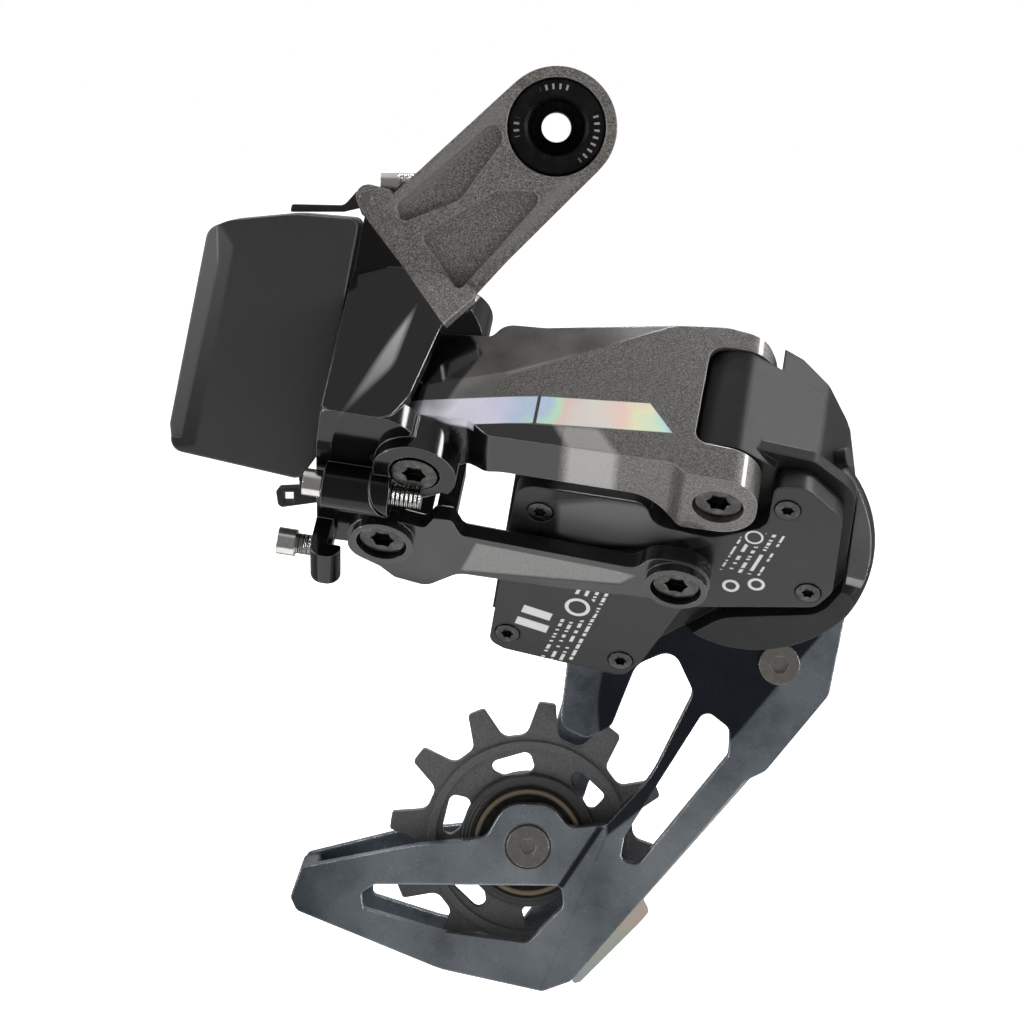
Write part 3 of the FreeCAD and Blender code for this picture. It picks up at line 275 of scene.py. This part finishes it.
def knuckle_paint():
    """Flaked arm above with painted highlights along two of its edges, gloss black seat and ears below with a
    painted highlight on the seat, and painted highlights along sharp edges.
    """
    paint = Paint("knuckle_lacquer", Metallic=0.55, Coat_Weight=0.3, Coat_Roughness=0.06)
    across, up = paint.along(X_AXIS), paint.along(Z_AXIS)
    flake, bright = flakes(paint, ARM_LIFT)
    in_front = paint.without(paint.beside(across, up, (-20.1, -36.2), (-35.6, -15.7)))
    painted = paint.product(in_front, paint.beside(across, up, (-21.5, -37.8), (-3, -21.5)))
    # Painted highlights: pale bands along two edges of the arm.
    arm_edge_highlights = paint.either(
        paint.patch(across, up, [(-31.5, -14.6), (-29.0, -16.0), (-8.6, 2.6), (-10.6, 5.0)], 0.5),
        paint.patch(across, up, [(-12.6, -24.6), (-8.8, -22.4), (4.6, -9.6), (1.0, -9.4)], 0.5))
    upper = paint.mix(paint.product(arm_edge_highlights, 0.55), flake, PALE_HIGHLIGHT)
    # Painted highlight: a pale patch on the gloss black seat, fading out downwards.
    seat_highlight = paint.patch(across, up, [(-37.6, -50.0), (-29.4, -42.5), (-26.2, -33.6), (-29.0, -36.8)], 0.5)
    fading = paint.fade(up, -50.0, -35.0, 0.25, 1.0)
    lower = paint.mix(paint.product(seat_highlight, fading), GLOSS_BLACK_AND_SHADE, (0.50, 0.49, 0.48))
    paint.colour(paint.with_edge_highlights(paint.mix(painted, lower, upper), EDGE_HIGHLIGHT, 0.5, 0.3))
    paint.shine(paint.fade(painted, 0.0, 1.0, 0.10, 0.34))
    paint.relief(paint.product(bright, painted), 0.03, 0.45)
    return paint.material


def strip_colours(paint, along):
    """Pale violet on the left of the divider, and a soft rainbow on its right."""
    ramp = paint.add("ShaderNodeValToRGB")
    waver = paint.mottle(130.0, -0.07, 0.07, 1.0)
    wave = paint.calc("ADD", paint.fade(along, -57.0, -9.0), waver)
    paint.plug(wave, ramp.inputs[0])
    stops = [(0.0, (0.34, 0.34, 0.38)), (0.12, (0.88, 0.86, 0.95)), (0.30, (0.78, 0.77, 0.95)),
             (0.44, (0.56, 0.68, 0.88)), (0.50, (0.60, 0.90, 0.66)), (0.57, (0.90, 0.66, 0.62)),
             (0.66, (0.82, 0.80, 0.74)), (0.76, (0.96, 0.70, 0.62)), (0.84, (0.92, 0.90, 0.62)),
             (0.90, (0.60, 0.90, 0.74)), (1.0, (0.56, 0.56, 0.90))]
    ramp.color_ramp.elements[0].position = stops[0][0]
    ramp.color_ramp.elements[0].color = (*stops[0][1], 1)
    ramp.color_ramp.elements[1].position = stops[-1][0]
    ramp.color_ramp.elements[1].color = (*stops[-1][1], 1)
    for position, colour in stops[1:-1]:
        ramp.color_ramp.elements.new(position).color = (*colour, 1)
    return ramp.outputs[0]


def link_paint():
    """Flaked front, smooth smoky rear, gloss black rear end, a painted shadow below the strip with a painted
    gleam in it, a painted highlight on the rear, painted edge highlights, and the pearly strip.
    """
    paint = Paint("link_lacquer", Metallic=0.5, Coat_Weight=0.7, Coat_Roughness=0.06)
    along, pivot = paint.along(ALONG, FRONT_PIVOT), paint.along(PIVOT, FRONT_PIVOT)
    across = paint.along(ACROSS, FRONT_PIVOT)
    outside = paint.without(paint.fade(across, -6.4, -5.6))
    flake, bright = flakes(paint, LINK_LIFT)
    smooth = paint.without(paint.beside(along, pivot, (-13.0, 32.6), (-41.0, 15.4), 0.25))
    smooth = paint.either(smooth, paint.patch(
        along, pivot, [(-60, 0), (-44, 8.0), (-40.5, 17.5), (-60, 24)], 0.3))
    tone = clouds(paint, SMOKE, THIN_SMOKE, 90.0)
    # Painted highlight: a paler patch on the smooth rear.
    light = paint.patch(along, pivot, [(-41.5, 16.0), (-34.0, 13.0), (-29.6, 18.0), (-36.5, 20.5)], 0.3)
    tone = paint.mix(paint.product(light, 0.5), tone, PALE_HIGHLIGHT)
    body = paint.mix(paint.product(smooth, 0.8), flake, tone)
    left_end = paint.patch(along, pivot, [(-64, -2), (-54.2, -2), (-46.4, 21.0), (-52, 30), (-64, 30)], 0.4)
    body = paint.mix(left_end, body, GLOSS_BLACK_AND_SHADE)
    # Painted shadow: gloss black below the strip.
    shadow = paint.product(paint.beside(along, pivot, (-10.0, 7.6), (-34.1, 5.3)),
                           paint.without(paint.fade(along, -29.4, -28.6)))
    body = paint.mix(shadow, body, GLOSS_BLACK_AND_SHADE)
    # Painted reflection: a paler gleam inside that shadow.
    gleam = paint.patch(along, pivot, [(-27.0, 0.0), (-17.6, -0.4), (-23.2, 6.4), (-31.0, 5.8)], 0.6)
    body = paint.mix(paint.product(gleam, 0.65), body, (0.42, 0.41, 0.40))
    half_left = paint.patch(along, pivot, [(-62.0, 0.1), (-34.6, 5.6), (-34.6, 11.8), (-62.0, 6.0)])
    half_right = paint.patch(along, pivot, [(-34.6, 5.6), (-10.0, 8.0), (-14.8, 13.9), (-34.6, 11.8)])
    divider = paint.without(paint.band(along, -34.9, -34.3))
    strip = paint.product(paint.either(half_left, half_right), paint.fade(along, -58.0, -54.0), outside)
    printed = paint.product(strip, divider)
    body = paint.mix(strip, body, (0.03, 0.03, 0.03))
    body = paint.with_edge_highlights(body, EDGE_HIGHLIGHT, 0.6)
    paint.colour(paint.mix(printed, body, strip_colours(paint, along)))
    dull = paint.product(paint.without(smooth), paint.without(shadow))
    paint.shine(paint.fade(dull, 0.0, 1.0, 0.2, 0.38))
    paint.relief(paint.product(bright, dull, paint.without(strip)), 0.03, 0.5)
    return paint.material


def inner_link_paint():
    """Gloss black with one matt grey flat, and painted highlights along sharp edges."""
    paint = Paint("inner_link_lacquer", Metallic=0.2, Coat_Weight=0.5, Coat_Roughness=0.08)
    along, across = paint.along(ALONG, FRONT_PIVOT), paint.along(ACROSS, FRONT_PIVOT)
    flat = paint.patch(along, across, [(-42.6, 16.6), (-26.0, 17.6), (-15.4, 18.4), (-12.9, 19.2),
                                       (-15.6, 22.4), (-45.2, 26.0)], 0.35)
    grain = paint.noise(2400.0, 3.0)
    grey = paint.mix(paint.fade(grain, 0.3, 0.7), (0.11, 0.11, 0.105), (0.16, 0.158, 0.15))
    gloss = paint.with_edge_highlights(clouds(paint, GLOSS_BLACK_AND_SHADE, (0.014, 0.014, 0.015)), EDGE_HIGHLIGHT, 0.3, 0.3)
    paint.colour(paint.mix(flat, gloss, grey))
    paint.shine(paint.fade(flat, 0.0, 1.0, 0.17, 0.46))
    paint.relief(flat, 0.25, 0.4)
    return paint.material


def moulded(name, base, worn, roughness, grain=0.02, gloss=0.5):
    """Satin moulded plastic with a fine spark-eroded grain, and painted highlights along its sharp edges."""
    paint = Paint(name, Specular_IOR_Level=gloss)
    fine = paint.noise(5200.0, 3.0)
    paint.colour(paint.with_edge_highlights(paint.wear(base, worn, 0.5, 180.0), (0.10, 0.10, 0.10), 0.6))
    paint.shine(paint.mottle(900.0, roughness - 0.015, roughness + 0.02))
    paint.relief(fine, grain, 0.45)
    return paint


def battery_paint():
    """Satin shell, with a rear chamfer painted from shade below to highlight above, a panel a little darker
    towards the top, and painted edge highlights.
    """
    paint = Paint("battery_shell")
    across, up = paint.along(X_AXIS), paint.along(Z_AXIS)
    fine = paint.noise(4200.0, 3.0)
    # Painted light: the rear chamfer goes from painted shade at the bottom to a painted highlight at the top.
    chamfer = paint.patch(across, up, [(-71.5, -58.5), (-66.2, -58.0), (-58.8, -21.5), (-62.0, -16.5),
                                       (-66.0, -16.0)], 0.35)
    rise = paint.fade(up, -62.0, -16.0)
    panel = paint.mix(rise, (0.032, 0.032, 0.033), (0.024, 0.024, 0.0245))
    edge = paint.mix(rise, (0.009, 0.009, 0.0095), (0.060, 0.060, 0.061))
    paint.colour(paint.with_edge_highlights(paint.mix(chamfer, panel, edge), (0.16, 0.16, 0.16), 0.8, 0.5))
    paint.shine(paint.mottle(260.0, 0.40, 0.48))
    paint.relief(fine, 0.02, 0.8)
    return paint.material


def print_rows(paint, along, across, spans, row_gap, tick, slant):
    """Rows of tiny random ticks in place of small print. They say nothing."""
    (low_along, high_along), (low_across, high_across) = spans
    leaned = paint.calc("MULTIPLY_ADD", across, slant, along)
    cell = paint.add("ShaderNodeCombineXYZ")
    paint.plug(paint.calc("FLOOR", paint.calc("DIVIDE", leaned, row_gap)), cell.inputs[0])
    paint.plug(paint.calc("FLOOR", paint.calc("DIVIDE", across, tick)), cell.inputs[1])
    random = paint.add("ShaderNodeTexWhiteNoise", noise_dimensions="3D")
    paint.plug(cell.outputs[0], random.inputs["Vector"])
    row = paint.calc("FRACT", paint.calc("DIVIDE", leaned, row_gap))
    ticks = paint.calc("GREATER_THAN", random.outputs["Value"], 0.42)
    inside = paint.product(paint.band(leaned, low_along, high_along),
                           paint.band(across, low_across, high_across))
    return paint.product(ticks, paint.band(row, 0.30, 0.68, 0.03), inside)


def ring_mark(paint, along, across, centre, outer, inner):
    """1 between two radii round a centre. With a negative inner radius it is a whole disc."""
    offset_a = paint.calc("SUBTRACT", along, centre[0])
    offset_b = paint.calc("SUBTRACT", across, centre[1])
    return paint.band(paint.reach(offset_a, offset_b), inner, outer)


def cover_paint():
    """Module cover: a pad on a raised field painted paler as a highlight, pale marks that mean nothing, and
    painted edge highlights.
    """
    paint = moulded("module_cover_plastic", (0.009, 0.009, 0.0095), (0.014, 0.014, 0.015), 0.32)
    along = paint.along(ALONG, FRONT_PIVOT)
    across = paint.along(MODULE_ACROSS, FRONT_PIVOT)
    depth = paint.along(MODULE_DEPTH, FRONT_PIVOT)
    face = paint.without(paint.fade(depth, 3.1, 3.3))
    # Painted highlight: a paler facet on the raised field.
    pad = paint.patch(along, across, [(-28.6, 13.2), (-28.6, 9.2), (-21.0, 6.6), (-13.6, 6.4), (-3.0, 11.8),
                                      (-12.0, 16.0), (-24.0, 18.6), (-28.4, 16.6)], 0.6)
    swirl = paint.patch(along, across, [(-30.4, 17.5), (-30.4, 7.0), (-22.0, 4.6), (-12.0, 4.8), (-1.6, 12.6),
                                        (-11.0, 18.6), (-24.0, 21.4)], 1.4)
    rows = paint.either(
        print_rows(paint, along, across, ((-16.0, -8.8), (30.0, 51.0)), 1.75, 0.42, 0.27),
        print_rows(paint, along, across, ((8.0, 15.4), (8.4, 19.6)), 1.8, 0.38, 0.30))
    clear = paint.either(ring_mark(paint, along, across, (-23.1, 35.6), 3.6, -1.0),
                         ring_mark(paint, along, across, (7.4, 9.9), 2.4, -1.0))
    marks = paint.either(
        paint.product(rows, paint.without(clear)),
        ring_mark(paint, along, across, (-23.1, 35.6), 2.4, 1.7),
        ring_mark(paint, along, across, (7.4, 9.9), 1.7, 1.3),
        paint.patch(along, across, [(-34.6, 42.6), (-34.1, 40.6), (-28.0, 42.0), (-28.5, 44.0)]),
        paint.patch(along, across, [(-33.6, 39.2), (-33.1, 37.2), (-27.6, 38.5), (-28.1, 40.5)]),
        ring_mark(paint, along, across, (4.6, 23.4), 1.6, 1.0),
        ring_mark(paint, along, across, (9.2, 22.0), 1.6, 1.0))
    dark = paint.colour_so_far()
    body = paint.mix(paint.product(pad, face), dark, (0.060, 0.060, 0.059))
    paint.colour(paint.mix(paint.product(marks, face, 0.8), body, (0.50, 0.50, 0.49)))
    grain = paint.noise(5200.0, 3.0)
    height = paint.calc("ADD", paint.calc("MULTIPLY", grain, 0.03), paint.product(swirl, face))
    paint.relief(height, 0.7, 0.6)
    return paint.material


def anodised(name, base, other, roughness, edge=0.4):
    """Satin anodised metal: slow blotches of two tones, and a very fine grain."""
    paint = Paint(name, Metallic=0.92)
    blotch = paint.noise(75.0, 5.0, 0.62)
    paint.colour(paint.mix(paint.fade(blotch, 0.34, 0.66), base, other))
    paint.shine(paint.mottle(210.0, roughness - 0.05, roughness + 0.06, 3.0))
    paint.relief(paint.noise(3800.0, 2.0), 0.005, edge)
    return paint


def cage_paint():
    """Blue-grey anodising, with painted shade in dark blue on the upper arm, the rib, the wing tip and a
    groove, a cloudy painted sheen lower down, and painted edge highlights.
    """
    paint = anodised("cage_anodising", (0.12, 0.14, 0.165), (0.35, 0.395, 0.44), 0.27, 0.6)
    across, up = paint.along(X_AXIS), paint.along(Z_AXIS)
    base = paint.colour_so_far()
    shade_navy, sheen_blue = (0.020, 0.026, 0.036), (0.62, 0.67, 0.72)
    # Painted shade: dark blue on the upper arm, on the rib (stronger towards its top), on the wing tip and in
    # a groove.
    upper_arm_shade = paint.patch(across, up, [(10.0, -136.0), (34.3, -116.8), (56.0, -90.6), (56.0, -70.0),
                                         (14.0, -70.0), (8.0, -110.0)], 0.3)
    groove_shade = paint.patch(across, up, [(0.2, -146.2), (1.6, -146.2), (9.4, -134.4), (8.2, -134.0)], 0.2)
    shadow = paint.fade(up, -140.0, -112.0)
    rib = paint.patch(across, up, [(10.0, -136.0), (31.0, -112.0), (27.0, -96.0), (18.0, -104.0),
                                   (4.0, -128.0)], 0.4)
    wing_tip_shade = paint.without(paint.fade(across, -50.0, -34.0))
    dark = paint.either(upper_arm_shade, paint.product(rib, shadow), paint.product(wing_tip_shade, 0.5), groove_shade)
    # Painted sheen: cloudy lighter blue low on the arm and on the wing.
    arm = paint.without(paint.beside(across, up, (-2.6, -165.9), (11.5, -132.0), 0.3))
    arm_sheen = paint.product(arm, paint.fade(up, -112.0, -138.0))
    wing_sheen = paint.product(paint.without(arm), paint.fade(up, -126.0, -134.0),
                               paint.fade(across, -50.0, -22.0))
    cloud = paint.fade(paint.noise(55.0, 2.0), 0.32, 0.6, 0.25, 1.0)
    sheen = paint.product(paint.either(arm_sheen, wing_sheen), cloud)
    lit = paint.mix(paint.product(sheen, 0.55), base, sheen_blue)
    paint.colour(paint.with_edge_highlights(paint.mix(paint.product(dark, 0.94), lit, shade_navy), (0.55, 0.58, 0.62), 0.5))
    return paint.material


def steel(name, base, worn, roughness, axis=None, pitch=None, shank=None):
    """Machined steel: fine grain, or a thread of the given pitch in mm beyond the place called shank."""
    paint = Paint(name, Metallic=1.0)
    paint.colour(paint.wear(base, worn, 0.7, 700.0))
    paint.shine(paint.mottle(900.0, roughness - 0.05, roughness + 0.08))
    if pitch:
        travel = paint.along(axis)
        on_shank = paint.fade(travel, shank - 0.1, shank + 0.1)
        paint.relief(paint.product(paint.ridges(travel, pitch), on_shank), 0.45, 0.25)
    else:
        paint.relief(paint.noise(2500.0), 0.01, 0.25)
    return paint.material


# Ticks in a full turn of the scale, and the thread's pitch in millimetres
BOLT_TICKS = 36
BOLT_PITCH = 1.0


def bolt_flange_paint():
    """Black anodised ring with a scale of small pale ticks round it."""
    paint = Paint("hanger_bolt_anodising", Metallic=0.7)
    across, up, inboard = paint.along(X_AXIS), paint.along(Z_AXIS), paint.along(Y_AXIS)
    angle = paint.calc("ARCTAN2", up, across)
    reach = paint.reach(across, up)
    turn = paint.calc("FRACT", paint.calc("MULTIPLY", angle, BOLT_TICKS / (2 * math.pi)))
    ticks = paint.product(paint.band(turn, 0.32, 0.62, 0.05), paint.band(reach, 6.9, 7.9))
    spans = paint.either(paint.band(angle, 1.25, 1.95), paint.band(angle, -0.95, 0.30),
                         paint.calc("GREATER_THAN", paint.calc("ABSOLUTE", angle), 2.9))
    face = paint.without(paint.fade(inboard, -14.9, -14.5))
    black = paint.wear((0.010, 0.010, 0.011), (0.030, 0.030, 0.032), 0.5, 500.0)
    thread = paint.fade(inboard, 0.2, 0.4)
    paint.colour(paint.mix(paint.product(ticks, spans, face), black, (0.55, 0.55, 0.55)))
    paint.shine(paint.mottle(800.0, 0.24, 0.34))
    paint.relief(paint.product(paint.ridges(inboard, BOLT_PITCH), thread), 0.5, 0.3)
    return paint.material


def pulley_paint(name, centre):
    """Glass-filled nylon: matt, faintly speckled, a little polished where the chain runs."""
    paint = Paint(name)
    across, up = paint.along(X_AXIS, centre), paint.along(Z_AXIS, centre)
    reach = paint.reach(across, up)
    speck = paint.fade(paint.noise(3200.0, 4.0), 0.42, 0.68)
    body = paint.mix(speck, (0.060, 0.060, 0.061), (0.095, 0.095, 0.097))
    hub = paint.band(reach, 10.0, 13.4, 0.2)
    paint.colour(paint.mix(paint.product(hub, 0.6), body, (0.018, 0.018, 0.019)))
    paint.shine(paint.fade(reach, 18.0, 27.0, 0.56, 0.46))
    rings = paint.calc("SINE", paint.calc("MULTIPLY", reach, 9.0))
    paint.relief(paint.calc("ADD", speck, paint.product(rings, hub, 1.5)), 0.03, 0.4)
    return paint.material


def shield_paint(name, centre):
    """Black dust shield with a worn bronze rim."""
    paint = Paint(name, Metallic=0.85)
    across, up = paint.along(X_AXIS, centre), paint.along(Z_AXIS, centre)
    reach = paint.reach(across, up)
    rims = paint.either(paint.band(reach, 9.6, 10.4, 0.2), paint.band(reach, 6.6, 7.2, 0.2))
    paint.colour(paint.mix(rims, paint.wear((0.020, 0.019, 0.018), (0.050, 0.046, 0.042), 0.6, 500.0),
                           (0.34, 0.27, 0.19)))
    paint.shine(paint.mottle(700.0, 0.26, 0.40))
    paint.relief(rims, 0.12, 0.3)
    return paint.material


def trim_paint():
    """Polished strip with a soft interference sheen over its lower half."""
    paint = Paint("trim_strip_polish", Metallic=0.45)
    up = paint.along(Z_AXIS)
    waver = paint.mottle(160.0, -0.1, 0.1, 1.0)
    hue = paint.calc("ADD", paint.fade(up, -166.0, -146.0), waver)
    ramp = paint.add("ShaderNodeValToRGB")
    paint.plug(hue, ramp.inputs[0])
    ramp.color_ramp.elements[0].color = (0.40, 0.39, 0.46, 1)
    ramp.color_ramp.elements[1].color = (0.42, 0.415, 0.40, 1)
    ramp.color_ramp.elements.new(0.35).color = (0.38, 0.44, 0.38, 1)
    ramp.color_ramp.elements.new(0.65).color = (0.50, 0.42, 0.36, 1)
    paint.colour(ramp.outputs[0])
    paint.shine(paint.mottle(1500.0, 0.16, 0.26, 3.0))
    paint.relief(paint.noise(3000.0), 0.006, 0.2)
    return paint.material


def board_paint():
    """Green circuit board with copper tracks and dark chips."""
    paint = Paint("board_lacquer", Coat_Weight=0.4)
    along, across = paint.along(ALONG, FRONT_PIVOT), paint.along(MODULE_ACROSS, FRONT_PIVOT)
    tracks = paint.calc("FRACT", paint.calc("MULTIPLY", along, 0.8))
    copper = paint.mix(paint.band(tracks, 0.2, 0.36, 0.04), (0.010, 0.070, 0.030), (0.20, 0.22, 0.06))
    chips = paint.either(paint.patch(along, across, [(-30, 20), (-22, 20), (-22, 28), (-30, 28)]),
                         paint.patch(along, across, [(-31, 31), (-20, 31), (-20, 38), (-31, 38)]))
    paint.colour(paint.mix(chips, copper, (0.012, 0.012, 0.012)))
    paint.shine(paint.fade(chips, 0.0, 1.0, 0.25, 0.5))
    paint.relief(chips, 0.4, 0.2)
    return paint.material


def dress_model():
    """Every CAD node gets its material here or in dress_screws."""
    dress(knuckle_paint(), "b_knuckle")
    dress(link_paint(), "outer_link")
    dress(inner_link_paint(), "inner_link")
    dress(battery_paint(), "battery_case")
    dress(cover_paint(), "module_cover")
    dress(moulded("module_case_plastic", (0.008, 0.008, 0.0085), (0.014, 0.014, 0.015), 0.38,
                  gloss=0.24).material, "p_knuckle")
    dress(moulded("small_parts_plastic", (0.016, 0.016, 0.017), (0.034, 0.034, 0.035), 0.38).material,
          "battery_latch", "battery_catch", "function_button")
    dress(cage_paint(), "outer_cage_plate", "inner_cage_plate")
    dress(trim_paint(), "cage_trim_strip")
    dress(anodised("badge_anodising", (0.22, 0.22, 0.225), (0.32, 0.32, 0.325), 0.30).material, "drum_badge")
    dress(bolt_flange_paint(), "hanger_bolt")
    for which, centre in (("guide", GUIDE_CENTRE), ("tension", TENSION_CENTRE)):
        dress(pulley_paint(which + "_nylon", centre), which + "_pulley")
        dress(shield_paint(which + "_shield_metal", centre), which + "_dust_shields")
    gunmetal = steel("gunmetal_bolts", (0.46, 0.43, 0.40), (0.60, 0.56, 0.52), 0.26)
    dress(gunmetal, "guide_pulley_bolt", "tension_pulley_bolt", "cage_stop_screw")
    black_steel = steel("blackened_pins", (0.07, 0.068, 0.066), (0.16, 0.155, 0.15), 0.22)
    dress(black_steel, "outer_pin_front", "outer_pin_rear", "inner_pin_front", "inner_pin_rear",
          "cover_screws")
    plain = steel("machined_steel", (0.46, 0.45, 0.43), (0.60, 0.59, 0.57), 0.26)
    dress(plain, "stop_washer", "latch_pin", "battery_cell", "drive_motor", "drive_worm", "cage_axle",
          "cage_spring", "guide_bearing_race", "guide_bearing_balls", "tension_bearing_race",
          "tension_bearing_balls")
    sleeve = anodised("black_sleeve_anodising", (0.018, 0.018, 0.019), (0.04, 0.04, 0.042), 0.3).material
    dress(sleeve, "guide_axle_sleeve", "tension_axle_sleeve", "damper_body")
    bronze = steel("sintered_bronze", (0.30, 0.20, 0.10), (0.42, 0.30, 0.17), 0.42)
    dress(bronze, "hanger_bushing", "outer_link_bushings", "inner_link_bushing", "p_knuckle_bushings",
          "drive_gear")
    rubber = moulded("seal_rubber", (0.012, 0.012, 0.012), (0.022, 0.022, 0.022), 0.62, 0.03).material
    dress(rubber, "cover_gasket", "drum_seal")
    dress(board_paint(), "control_board")
    dress_screws()


# Millimetres: the length of each head, and the thread's pitch
SCREW_HEAD = 3.6
SCREW_PITCH = 0.8


def dress_screws():
    """Bright adjusting screws: the thread starts behind each head."""
    low_corner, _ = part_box("b_adjust_screw")
    screws = [("b_adjust_screw", "b_screw_steel", X_AXIS, low_corner.x * MM)]
    for name in ("high_limit_screw", "low_limit_screw"):
        start = min(ALONG.dot(vertex.co) for vertex in NODES[name].data.vertices) * MM
        screws.append((name, name + "_steel", ALONG, start))
    for name, material, axis, start in screws:
        dress(steel(material, (0.78, 0.76, 0.73), (0.88, 0.86, 0.83), 0.14, axis, SCREW_PITCH,
                    start + SCREW_HEAD), name)


# ---------------------------------------------------------------- studio

FLOOR_HALF_SIZE = 40.0
FLOOR_GAP = 0.003
FLOOR_GLOW = 0.92

# How bright the room is, for light and reflections
ROOM_DIM = 0.20
CEILING = 0.62
WALLS = 0.5
TABLE = 0.9

# name, place from the middle of the object, height above the origin, width, length, watts
LAMPS = [
    ("rear_softbox", (-0.05, 0.34), 0.46, 0.60, 0.16, 5.5),
    ("left_strip", (-0.55, 0.22), 0.42, 0.07, 0.5, 1.3),
    ("right_strip", (0.60, 0.05), 0.30, 0.07, 0.5, 2.6),
    ("left_wall_strip", (-0.72, -0.20), -0.05, 0.05, 0.6, 2.4),
    ("right_wall_strip", (0.72, -0.20), -0.15, 0.05, 0.6, 2.4),
]

CAMERA_PLACE = (-0.0021, -0.620, -0.0042)
CAMERA_PITCH = math.radians(6.298)
CAMERA_YAW = math.radians(0.5764)
LENS_MM = 115.31
SENSOR_MM = 36.0


def make_floor():
    """Pale floor just under the object. Surfaces don't mirror it."""
    lowest = cad_box[0].z - FLOOR_GAP
    size = FLOOR_HALF_SIZE
    mesh = bpy.data.meshes.new("studio_floor")
    corners = [(-size, -size, lowest), (size, -size, lowest), (size, size, lowest), (-size, size, lowest)]
    mesh.from_pydata(corners, [], [(0, 1, 2, 3)])
    floor = bpy.data.objects.new("studio_floor", mesh)
    bpy.context.scene.collection.objects.link(floor)
    paint = Paint("studio_floor_white", Roughness=0.9)
    patches = paint.fade(paint.noise(3.0), 0.4, 0.6, 0.0, 0.2)
    paint.colour(paint.mix(patches, (0.86, 0.86, 0.86), (0.84, 0.84, 0.84)))
    paint.shader.inputs["Emission Color"].default_value = (1, 1, 1, 1)
    paint.shader.inputs["Emission Strength"].default_value = FLOOR_GLOW
    mesh.materials.append(paint.material)
    floor.visible_glossy = False


def make_sky():
    """White to the camera. To light and reflections, a dim room, brighter above, below and at its sides."""
    world = bpy.data.worlds.new("studio_sky")
    bpy.context.scene.world = world
    world.use_nodes = True
    tree = world.node_tree
    background = tree.nodes["Background"]
    direction = tree.nodes.new("ShaderNodeSeparateXYZ")
    tree.links.new(tree.nodes.new("ShaderNodeTexCoord").outputs["Generated"], direction.inputs[0])
    sideways = tree.nodes.new("ShaderNodeMath")
    sideways.operation = "ABSOLUTE"
    tree.links.new(direction.outputs["X"], sideways.inputs[0])

    def glow(source, low, high, dim, bright):
        node = tree.nodes.new("ShaderNodeMapRange")
        node.interpolation_type = "SMOOTHSTEP"
        tree.links.new(source, node.inputs["Value"])
        for socket, value in zip(("From Min", "From Max", "To Min", "To Max"), (low, high, dim, bright)):
            node.inputs[socket].default_value = value
        return node.outputs["Result"]

    def total(first, second):
        node = tree.nodes.new("ShaderNodeMath")
        node.operation = "ADD"
        tree.links.new(first, node.inputs[0])
        tree.links.new(second, node.inputs[1])
        return node.outputs[0]

    ceiling = glow(direction.outputs["Z"], 0.62, 0.98, ROOM_DIM, CEILING)
    walls = glow(sideways.outputs[0], 0.62, 0.92, 0.0, WALLS)
    table = glow(direction.outputs["Z"], -0.84, -0.74, TABLE, 0.0)
    room = total(total(ceiling, walls), table)
    rays = tree.nodes.new("ShaderNodeLightPath")
    mix = tree.nodes.new("ShaderNodeMix")
    mix.data_type = "FLOAT"
    tree.links.new(rays.outputs["Is Camera Ray"], mix.inputs["Factor"])
    tree.links.new(room, mix.inputs[2])
    mix.inputs[3].default_value = 1.0
    tree.links.new(mix.outputs[0], background.inputs["Strength"])
    background.inputs["Color"].default_value = (1, 1, 1, 1)


def add_lamp(name, place, target, width, length, watts):
    """A rectangular lamp at a place, facing a target."""
    lamp = bpy.data.lights.new(name, "AREA")
    lamp.shape = "RECTANGLE"
    lamp.size = width
    lamp.size_y = length
    lamp.energy = watts
    holder = bpy.data.objects.new(name, lamp)
    bpy.context.scene.collection.objects.link(holder)
    holder.location = place
    holder.rotation_euler = (Vector(target) - Vector(place)).to_track_quat("-Z", "Y").to_euler()


def make_lamps():
    middle = (cad_box[0] + cad_box[1]) / 2
    for name, (offset_x, offset_y), height, width, length, watts in LAMPS:
        add_lamp(name, (middle.x + offset_x, middle.y + offset_y, height), middle, width, length, watts)


def make_camera():
    """4 mm below the hanger bolt's axis and 0.62 m outboard of it, looking down by 6 degrees."""
    lens = bpy.data.cameras.new("photo_camera")
    lens.sensor_width = SENSOR_MM
    lens.lens = LENS_MM
    lens.clip_start = 0.01
    lens.clip_end = 100.0
    camera = bpy.data.objects.new("photo_camera", lens)
    bpy.context.scene.collection.objects.link(camera)
    level = math.cos(CAMERA_PITCH)
    forward = Vector((-math.sin(CAMERA_YAW) * level, math.cos(CAMERA_YAW) * level, -math.sin(CAMERA_PITCH)))
    right = Vector((math.cos(CAMERA_YAW), math.sin(CAMERA_YAW), 0))
    up = right.cross(forward)
    turn = Matrix((right, up, -forward)).transposed().to_4x4()
    camera.matrix_world = Matrix.Translation(CAMERA_PLACE) @ turn
    bpy.context.scene.camera = camera


dress_model()
make_floor()
make_sky()
make_lamps()
make_camera()
bpy.context.scene.view_settings.view_transform = "Standard"
